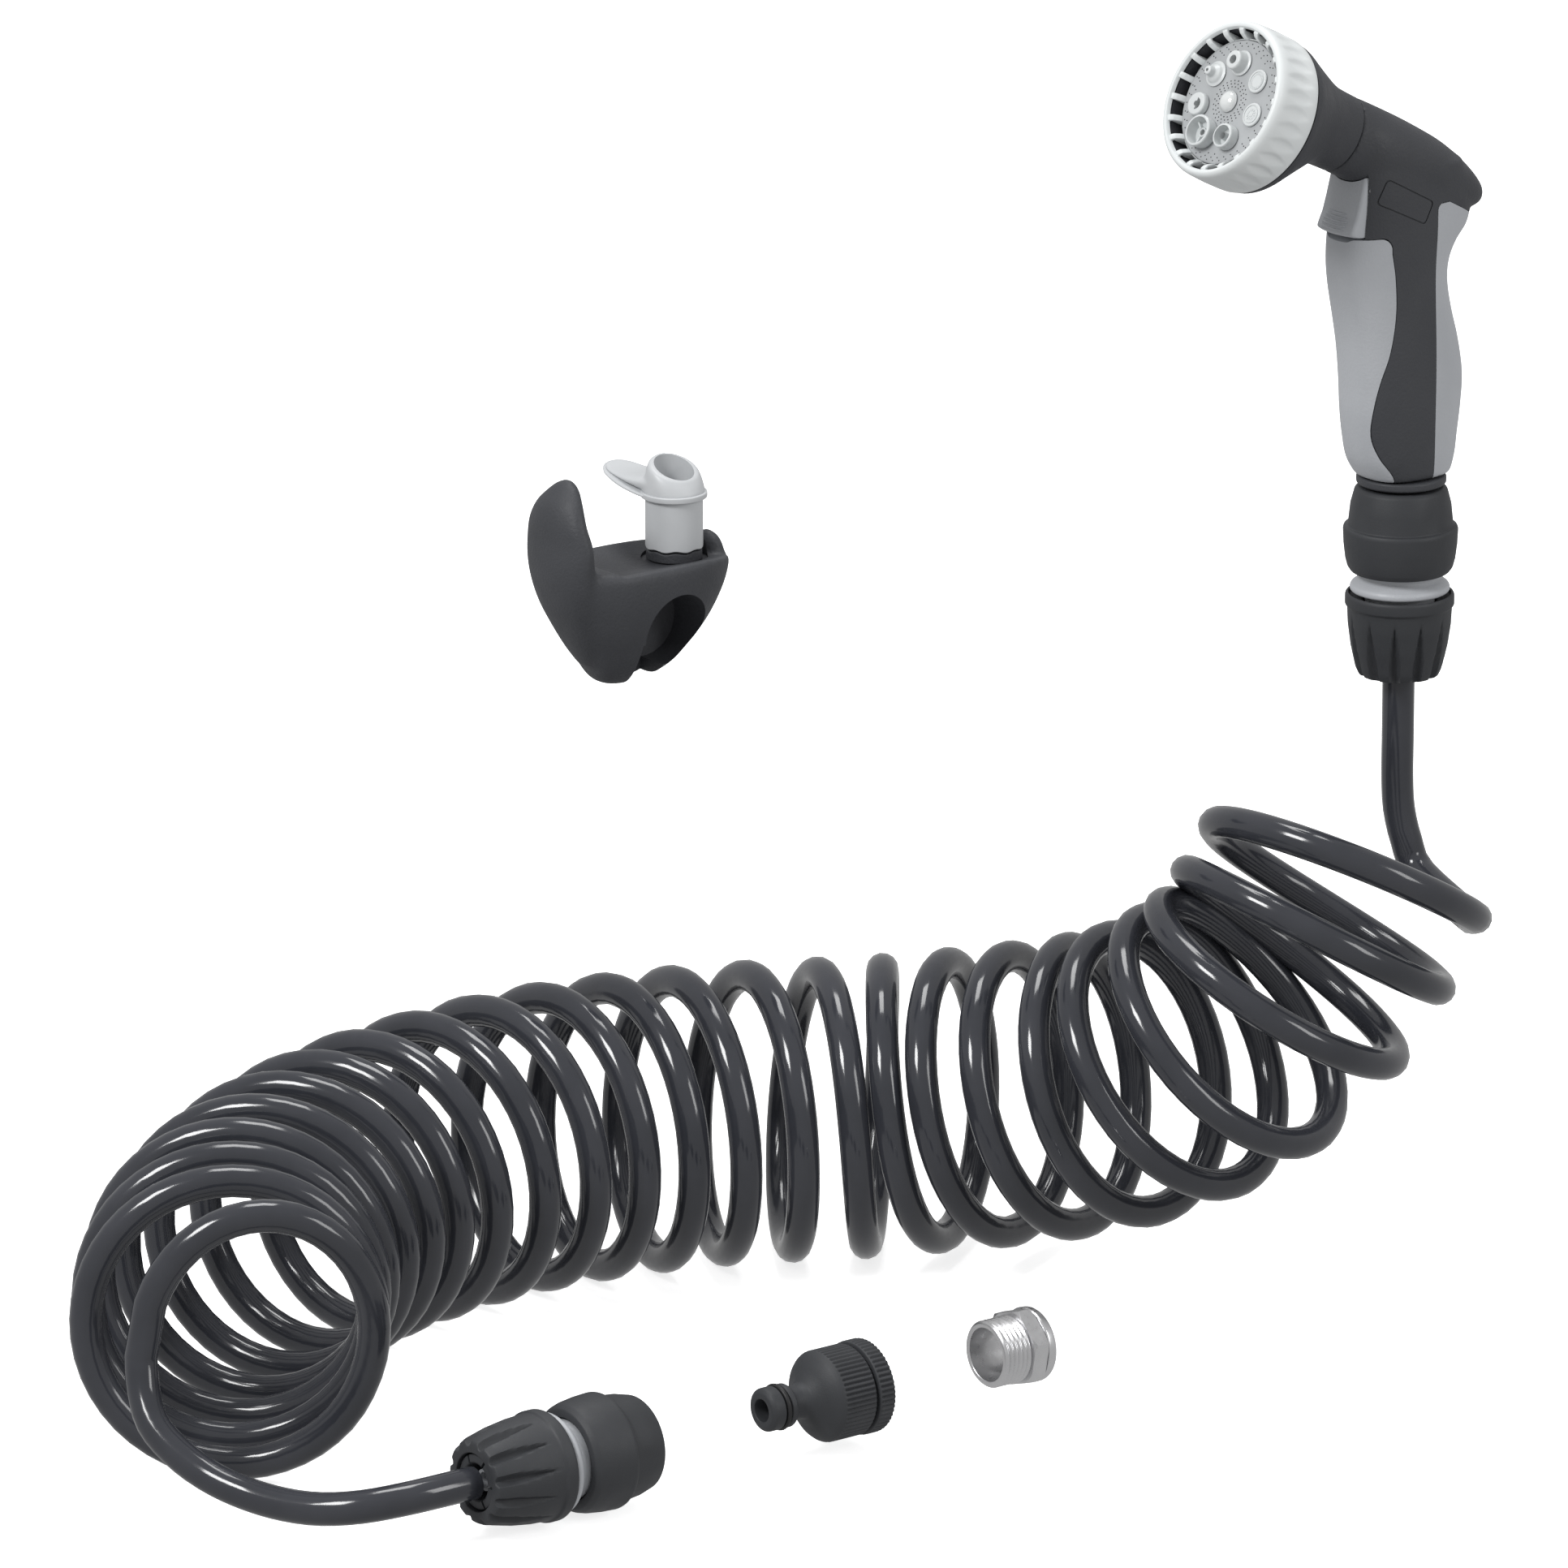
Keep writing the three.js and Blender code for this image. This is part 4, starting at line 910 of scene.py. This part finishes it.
def trigger_blade():
    half = TRIGGER_HALF_W

    def ring(height):
        front, back = eased(TRIGGER_ROWS, height)
        drop = 1.5 + 0.6 * max(0, (94 - height) / 5)
        pts = []
        count = 24
        for k in range(count + 1):
            x = (half - 1.4) * (2 * k / count - 1)
            pts.append((x, front - drop * (x / half) ** 2))
        side = pts[-1][1]
        edge = [(half - 1.4 + 1.4 * math.sin(a), side - 1.7 * (1 - math.cos(a)))
                for a in (math.radians(18 * n) for n in range(1, 6))]
        pts += [*edge, (half, back + 0.2), (half - 0.2, back)]
        pts += [(-half + 0.2, back), (-half, back + 0.2), *[(-x, y) for x, y in reversed(edge)]]
        return [Vector((x, -q, INLET_Z + height)) for x, q in pts]

    heights = [89.3, 89.4, 89.6, 90.0, 90.6, 91.3] + [92 + 20.3 * k / 30 for k in range(31)]
    rings = [ring(h) for h in heights]
    bm = sheeted(len(rings[0]), len(rings), lambda i, j: rings[j][i])
    bm = shaped(bm, barrel_shape(0.35))
    # finger ribs low on the pad
    for k in range(5):
        h = 91.6 + 1.25 * k
        reach = 6.6 - 0.75 * abs(k - 1.5)
        front, _ = eased(TRIGGER_ROWS, h)
        rib = bmesh.new()
        bmesh.ops.create_uvsphere(rib, u_segments=20, v_segments=10, radius=1)
        bmesh.ops.scale(rib, vec=(reach, 0.5, 0.36), verts=rib.verts)
        for v in rib.verts:
            v.co.y += 0.9 * (v.co.x / half) ** 2
            v.co.z += 0.35 * (v.co.x / half) ** 2
        bmesh.ops.translate(rib, vec=(0, -front + 0.12, INLET_Z + h), verts=rib.verts)
        bm = shaped(bm, rib, how="UNION")
    arm_side = [
        (18.2, 102.8), (23.6, 102.8), (23.4, 106.6), (20.9, 109.3), (18.2, 114.5), (16.4, 113.6),
        (18.2, 106.4),
    ]
    arm = slab(arm_side, -2.2, 2.2)
    bm = shaped(bm, arm, how="UNION")
    hinge = along((0, -PIVOT_Q, INLET_Z + PIVOT_H), (1, 0, 0))
    pin = tidy(spun([(0, -30), (1.56, -30), (1.56, 30), (0, 30)], 24), hinge)
    bm = shaped(bm, pin)
    piece("trigger_blade", bm, GREY, "trigger", ["trigger"], crease=34)


# ---- spray head ----
BELL = [
    (-34.5, 10.6, 12.8, HEAD_DROP), (-30, 11.0, 12.95, HEAD_DROP), (-27.2, 11.4, 13.1, HEAD_DROP),
    (-25, 12.2, 13.4, 5.5), (-21, 14.0, 14.9, 4.9), (-14, 18.3, 18.9, 3.1), (-7, 22.9, 23.1, 1.3),
    (-2.6, 25.7, 25.7, 0.2), (-0.4, 26.1, 26.1, 0),
]


def bell():
    skin = lofted(BELL, 60, 96, lambda z, v: on_head(0, v[2], z))
    inner = [
        (-19, 10, 10.6, 4.6), (-13, 15.4, 16, 2.8), (-6, 21, 21.2, 1.1), (-1.5, 23.6, 23.6, 0.1),
        (17, 23.9, 23.9, 0),
    ]
    hollow = lofted(inner, 40, 96, lambda z, v: on_head(0, v[2], z))
    collar = tidy(spun(rounded([(0, -1), (25.1, -1), (25.1, 15.7), (0, 15.7)], 0.3), 96), HEAD)
    throat = tidy(spun([(0, -40), (5.2, -40), (5.2, -10), (0, -10)], 48), on_head(0, HEAD_DROP, 0))
    bm = shaped(skin, collar, how="UNION")
    bm = shaped(bm, hollow, throat)
    piece("head_bell_skin", bm, DARK, "gun", ["head_bell"], crease=30)


def ring_skin():
    """Turning ring: rolled front lip and a row of leaf-shaped hollows round its side."""
    outline = [
        (25.4, 0.0), (26.0, 0.0), (26.35, 0.35), (26.6, 1.2), (RING_R, 3.0), (RING_R + 0.1, 8.6),
        (RING_R - 0.1, 14.6), (26.45, 16.1), (26.1, 17.1), (25.5, 17.7), (24.9, RING_LEN), (24.3, 17.6),
        (23.95, 17.1), (23.8, 16.3), (24.4, 16.05), (25.4, 16.0),
    ]
    bm = tidy(spun(stepped(outline, 0.8), FLUTES * 12))
    for v in bm.verts:
        r = math.hypot(v.co.x, v.co.y)
        if r < 26.2 or not 1.8 < v.co.z < 16.0:
            continue
        t = math.atan2(v.co.y, v.co.x) / (2 * math.pi) * FLUTES
        across = ((t % 1) - 0.5) / 0.44
        lengthwise = (v.co.z - 8.4) / 6.2
        # each hollow has one steep flank and one that runs out
        bow = 1 - lengthwise**2
        if bow <= 0 or abs(across) > bow:
            continue
        u = across / bow
        dip = 0.62 * bow * (1 - u * u) * (1 + 0.55 * u)
        k = (r - dip) / r
        v.co.x *= k
        v.co.y *= k
    ribs = []
    for k in range(WINDOWS):
        rib = bmesh.new()
        shape = [
            (20.9, 10.2), (23.4, 10.2), (23.4, 15.9), (24.1, 15.9), (24.1, 17.1), (23.3, 17.25), (22.2, 16.3),
            (21.3, 14.6), (20.9, 13.4),
        ]
        rim = [rib.verts.new((r, -1.05, z)) for r, z in shape]
        face = rib.faces.new(rim)
        out = bmesh.ops.extrude_face_region(rib, geom=[face])
        far = [g for g in out["geom"] if isinstance(g, bmesh.types.BMVert)]
        bmesh.ops.translate(rib, vec=(0, 2.1, 0), verts=far)
        bmesh.ops.recalc_face_normals(rib, faces=rib.faces)
        bmesh.ops.bevel(
            rib, geom=rib.edges[:], offset=0.28, affect="EDGES", segments=2, profile=0.5, material=-1
        )
        bmesh.ops.transform(rib, matrix=turn(360 / WINDOWS * (k + 0.5)), verts=rib.verts)
        ribs.append(rib)
    inner = [(19.6, 9.4), (21.6, 9.4), (21.6, 12.9), (21.15, 13.3), (21.15, 10.9), (19.6, 10.9)]
    bm = gather(bm, tidy(spun(rounded(inner, 0.2), 96)), *ribs)
    bmesh.ops.transform(bm, matrix=HEAD, verts=bm.verts)
    piece("turning_ring", bm, PALE, "spray_head", ["spray_ring"], crease=36)


def pattern_spot(k):
    a = math.radians(PATTERN_TURN - 360 / PATTERN_COUNT * k)
    return PATTERN_R * math.sin(a), PATTERN_R * math.cos(a)


def pattern(k):
    return on_head(*pattern_spot(k), FACE_Z)


def spray_face():
    outline = [
        (0, 9.6), (19.2, 9.6), (19.2, 11.2), (20.9, 11.2), (20.9, FACE_Z - 0.2), (20.5, FACE_Z), (0, FACE_Z),
    ]
    disc = tidy(spun(stepped(rounded(outline, 0.3), 0.9), 168), HEAD)
    well = [(0, -6), (2.2, -6), (2.2, 1), (0, 1)]
    wells = [tidy(spun(well, 24), pattern(k)) for k in range(PATTERN_COUNT)]
    screw = tidy(spun([(0, 5), (1.7, 5), (1.7, 20), (0, 20)], 24), HEAD)
    disc = shaped(disc, gather(*wells, screw))
    # the face disc's colour carries painted shade of its recess inside the ring
    piece("spray_face", disc, FACE_SHADED, "spray_head", ["face_disc"], crease=30)
    # fine shower holes round the middle and near the rim, drawn as thin flat discs painted with the shade
    # inside each hole
    dots = []
    rings = [(5.1, 20, 0), (6.15, 24, 7), (7.2, 26, 3), (17.6, 36, 2), (18.8, 40, 5), (19.8, 42, 1)]
    for radius, count, phase in rings:
        for k in range(count):
            a = math.radians(360 / count * k + phase)
            x, y = radius * math.sin(a), radius * math.cos(a)
            if min(math.dist((x, y), pattern_spot(n)) for n in range(PATTERN_COUNT)) < NOZZLE_CLEAR:
                continue
            dot = bmesh.new()
            bmesh.ops.create_cone(dot, cap_ends=True, segments=8, radius1=0.24, radius2=0.24, depth=0.06)
            bmesh.ops.translate(dot, vec=(x, y, FACE_Z), verts=dot.verts)
            dots.append(dot)
    holes = gather(*dots)
    bmesh.ops.transform(holes, matrix=HEAD, verts=holes.verts)
    piece("shower_hole_shade", holes, HOLE_SHADE, "spray_head")


def nozzles():
    stem = [(0, -3), (1.9, -3), (1.9, GAP)]

    def bored(bm, radius, k):
        return shaped(bm, tidy(spun([(0, -5), (radius, -5), (radius, 12), (0, 12)], 40), pattern(k)))

    def made(outline, k, fillet=0.3):
        return tidy(spun(rounded(stem + outline, fillet), 64), pattern(k))

    def tip(name, bm):
        piece("nozzle_tip_" + name, bm, NOZZLE, "spray_head", ["nozzle_" + name])

    jet = made([(4.3, GAP), (4.3, 0.6), (3.5, 0.9), (3.2, 4.0), (2.9, 4.5), (0, 4.5)], 0)
    tip("jet", bored(jet, 1.5, 0))
    needle = [(4.3, GAP), (4.3, 0.55), (3.4, 0.8), (2.9, 1.6), (1.75, 2.4), (1.5, 4.3), (1.2, 4.6), (0, 4.6)]
    tip("fine", bored(made(needle, 1), 0.55, 1))
    fan = made([(4.0, GAP), (3.9, 1.9), (3.6, 2.4), (0, 2.4)], 2)
    slit = tidy(spun([(0, -1), (2.0, -1), (2.0, 6), (0, 6)], 40), pattern(2))
    slit = shaped(slit, block(-2.9, 0, 2, 6, 8, 12, pattern(2)))
    fan = shaped(fan, slit)
    tip("fan", bored(fan, 0.9, 2))
    cup = made([(5.0, GAP), (5.35, 4.1), (5.1, 4.55), (0, 4.55)], 3, 0.4)
    bowl = tidy(spun([(0, 0.6), (4.1, 0.6), (4.65, 6), (0, 6)], 64), pattern(3))
    cup = shaped(cup, bowl)
    hub = tidy(spun(rounded([(1.0, 0.2), (1.7, 0.2), (1.6, 2.0), (1.0, 2.0)], 0.2), 32), pattern(3))
    vanes = [block(3.0, 0, 1.3, 3.0, 0.6, 1.7, pattern(3) @ turn(120 * n + 20)) for n in range(3)]
    tip("cup", gather(bored(cup, 0.95, 3), hub, *vanes))
    ring = made([(4.2, GAP), (4.15, 3.3), (3.9, 3.75), (0, 3.75)], 4)
    moat = tidy(spun([(1.3, 0.5), (3.3, 0.5), (3.4, 6), (1.3, 6)], 64), pattern(4))
    over = tidy(spun([(0, 3.35), (2.0, 3.35), (2.0, 6), (0, 6)], 32), pattern(4))
    tip("cone", shaped(ring, moat, over))
    for k, name, count in ((5, "rosette", 12), (6, "petals", 24)):
        flat = made([(4.0, GAP), (3.95, 0.62), (3.7, 0.85), (0, 0.85)], k, 0.2)
        trench = tidy(spun([(2.75, 0.62), (3.15, 0.62), (3.15, 2), (2.75, 2)], 64), pattern(k))
        flat = shaped(flat, trench)
        out, length = (1.55, 0.8) if name == "rosette" else (2.3, 0.45)
        raised = [
            block(out, 0, 0.85, length, 0.22, 0.3, pattern(k) @ turn(360 / count * n)) for n in range(count)
        ]
        if name == "rosette":
            button = rounded([(0, 0.5), (0.85, 0.5), (0.85, 1.0), (0, 1.0)], 0.15)
            raised.insert(0, tidy(spun(button, 24), pattern(k)))
        tip(name, gather(flat, *raised))
    z = FACE_Z
    dome = [
        (0, 4.4), (1.4, 4.4), (1.4, z + GAP), (3.55, z + GAP), (3.7, z + 0.55), (3.5, z + 0.85),
        (3.2, z + 1.35), (2.6, z + 1.9), (1.8, z + 2.3), (0.9, z + 2.5), (0, z + 2.56),
    ]
    dome = tidy(spun(rounded(dome, 0.2), 64), HEAD)
    piece("centre_dome", dome, DOME, "gun", ["centre_screw"])


# ---- holder ----
def holder_body():
    """Egg-shaped body with a curled lip, a shallow cradle on top and a hole for a rail."""
    foot = Matrix.Translation(HOLDER_AT)
    rows = [  # height, half thickness, half length, centre
        (-37.8, 2.4, 3, -24), (-36.6, 6.2, 8.6, -22.8), (-33, 10.2, 14.6, -20.2),
        (-29, 13, 18.2, -18.8), (-24, 15.5, 22, -17.9), (-18, 17.8, 26.5, -17.4),
        (-12, 19.1, 30.1, -17), (-6, 19.8, 33.2, -17), (0, 19.7, 35.2, -17.2), (2.6, 19.2, 35.5, -17.3),
        (4.2, 17.6, 34.4, -17.3),
    ]
    lower = lofted(rows, 48, 72, lambda h, v: foot @ Matrix.Translation((0, v[2], h)), 2.5)
    lip_rows = [  # height, half width, half thickness, centre
        (-30, 4, 3, -35), (-24, 8, 5, -37), (-16, 11.4, 6.4, -40), (-8, 13.6, 7, -43.2),
        (0, 15.4, 7, -45.2), (7, 16.4, 6.6, -46), (14, 16.2, 6, -46.2), (20, 14.2, 5.4, -47),
        (26, 11.2, 4.8, -46.1), (30, 7.6, 3.8, -44.4), (32.6, 4.6, 2.6, -43.4), (33.8, 2, 1.2, -43),
    ]
    lip = lofted(lip_rows, 48, 48, lambda h, v: foot @ Matrix.Translation((0, v[2], h)))
    stop = lofted([(0, 7.4, 4.2), (4, 6.8, 3.6), (6.4, 4.6, 2.4), (7.8, 1.8, 1)], 16, 40,
                  lambda h, v: foot @ Matrix.Translation((0, 13.6, h)))
    cradle = tidy(spun([(0, -34), (DISH_R, -34), (DISH_R, 40), (0, 40)], 240),
                  along(HOLDER_AT + Vector((0, 0, DISH_R)), (0, 1, 0)))
    lower = shaped(lower, cradle)
    body = melted(gather(lower, lip, stop), 0.7, 24)
    pipe = tidy(spun(rounded([(0, -2), (12.7, -2), (12.7, 26), (0, 26)], 0.1), 72),
                along(HOLDER_AT + Vector((0, -11.3, -19)), (1, 0, 0)))
    mouth = block(13.7, -18.5, -34, 31.4, 12, 24, foot)
    screw = tidy(spun([(0, -12), (4.2, -12), (4.2, 10), (0, 10)], 40), foot)
    seat = tidy(spun([(0, 0), (11, 0), (11, 12), (0, 12)], 64), foot)
    body = shaped(body, pipe, mouth, screw, seat)
    piece("holder_body_skin", body, DARK, "holder", ["holder_body"], crease=30)


def wavy_tube(inner, outer, low, high, wave_low, wave_high):
    """Upright tube whose lower or upper edge runs in eight waves."""
    columns = 160
    edge = 0.35
    profile = [(inner, 0, 0), (inner, 1, 0), (outer - edge, 1, 0), (outer, 1, edge), (outer, 0, edge),
        (outer - edge, 0, 0)]
    rings = []
    for r, top, ease in profile:
        ring = []
        for i in range(columns):
            t = 2 * math.pi * i / columns
            ripple = RATCHET_WAVE * math.sin(8 * t)
            z = (high + wave_high * ripple - ease) if top else (low + wave_low * ripple + ease)
            ring.append(Vector((r * math.cos(t), r * math.sin(t), z)))
        rings.append(ring)
    rings.append(rings[0])
    return sheeted(columns, len(rings), lambda i, j: rings[j][i], cap=False)


def holder_latch():
    """Turning post with a slanted mouth and a long tongue, over a wavy ratchet ring."""
    foot = Matrix.Translation(HOLDER_AT)
    ratchet = wavy_tube(4.6, 9.2, GAP, 3.6, 0, 1)
    bmesh.ops.transform(ratchet, matrix=foot, verts=ratchet.verts)
    piece("holder_ratchet", ratchet, DARK, "holder", ["holder_ratchet_ring"])

    post = wavy_tube(6.6, 9.5, 4.2, 21.2, 1, 0)
    tongue_rows = [  # distance from the post, half width, half thickness, height
        (-4, 10.0, 0.9, 22.0), (4, 10.7, 0.9, 22.0), (12, 10.2, 0.9, 22.2), (20, 9.2, 0.9, 22.8),
        (28, 7.4, 0.8, 23.9), (32, 5.2, 0.75, 24.6), (34, 3, 0.6, 25), (34.8, 1, 0.4, 25.2),
    ]
    rim = lofted(tongue_rows, 44, 56, lambda d, v: along((-d, 0, v[2]), (-1, 0, 0)), 3.2)
    flange = tidy(spun(rounded([(6.4, 21), (10.9, 21), (10.9, 22.9), (6.4, 22.9)], 0.4), 96))
    swell_rows = [  # the same tongue a little narrower and higher, melting into the mouth
        (-3, 9.6, 3.2, 25), (4, 9.9, 3.4, 25.2), (10, 9.4, 2.4, 24.8), (16, 8.6, 1.6, 24.4),
        (24, 7.3, 1.0, 24.5), (28, 6.5, 0.9, 24.9), (32, 4.4, 0.8, 25.5), (33.8, 1.6, 0.5, 25.9),
    ]
    swell = lofted(swell_rows, 44, 56, lambda d, v: along((-d, 0, v[2]), (-1, 0, 0)), 2.4)
    cowl_rows = [  # height, half widths, lean
        (22.2, 10.2, 10.2, 0), (24, 10.1, 10.1, 0.09), (26, 9.8, 9.8, 0.2), (28.4, 9.3, 9.3, 0.32),
        (30.2, 8.7, 8.7, 0.42), (30.8, 8.1, 8.1, 0.42),
    ]
    cowl = lofted(
        cowl_rows, 24, 64, lambda h, v: Matrix.Translation((0, 0, h)) @ Matrix.Rotation(v[2], 4, "Y")
    )
    top = melted(gather(cowl, swell), 0.4, 14)
    bore = tidy(spun([(0, 3), (6.6, 3), (6.6, 60), (0, 60)], 64))
    rim = shaped(rim, doubled(bore))
    latch = gather(post, shaped(top, bore), rim, flange)
    bmesh.ops.transform(latch, matrix=foot, verts=latch.verts)
    piece("holder_latch_skin", latch, LATCH, "holder_latch", ["holder_latch"], crease=34)


# ---- finishes for the CAD pieces that stay ----
KEPT = {
    "valve_stem": BRASS, "valve_seal": RUBBER, "valve_spring": STEEL, "trigger_pin": STEEL,
    "outlet_plate": DARK,
    "outlet_gasket": RUBBER, "outlet_duct": DARK, "detent_pin": STEEL, "tap_nipple_washer": RUBBER,
    "adapter_washer": RUBBER, "holder_bolt": STEEL,
    "gun_connector_latch": STEEL, "gun_connector_seal": RUBBER, "gun_connector_spring": STEEL,
    "tap_connector_latch": STEEL, "tap_connector_seal": RUBBER, "tap_connector_spring": STEEL,
}


def finish_kept():
    for name, finish in KEPT.items():
        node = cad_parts[name]
        node.data.materials.clear()
        node.data.materials.append(finish)


# ---- the scene ----
studio_camera()
cord, cord_length = hose()
inlet()
connector("gun", along((0, 0, INLET_Z + 0.8), (0, 0, -1)), "gun", "gun_sleeve")
connector("tap", along((TAP_X, TAP_NUT_Y + COUPLING_LEN, TAP_Z), (0, -1, 0)), "gun", "tap_sleeve")
tap_fittings()
grip_parts()
trigger_blade()
bell()
ring_skin()
spray_face()
nozzles()
holder_body()
holder_latch()
finish_kept()
studio_floor()
studio_light()

bpy.context.scene.view_settings.view_transform = "Standard"
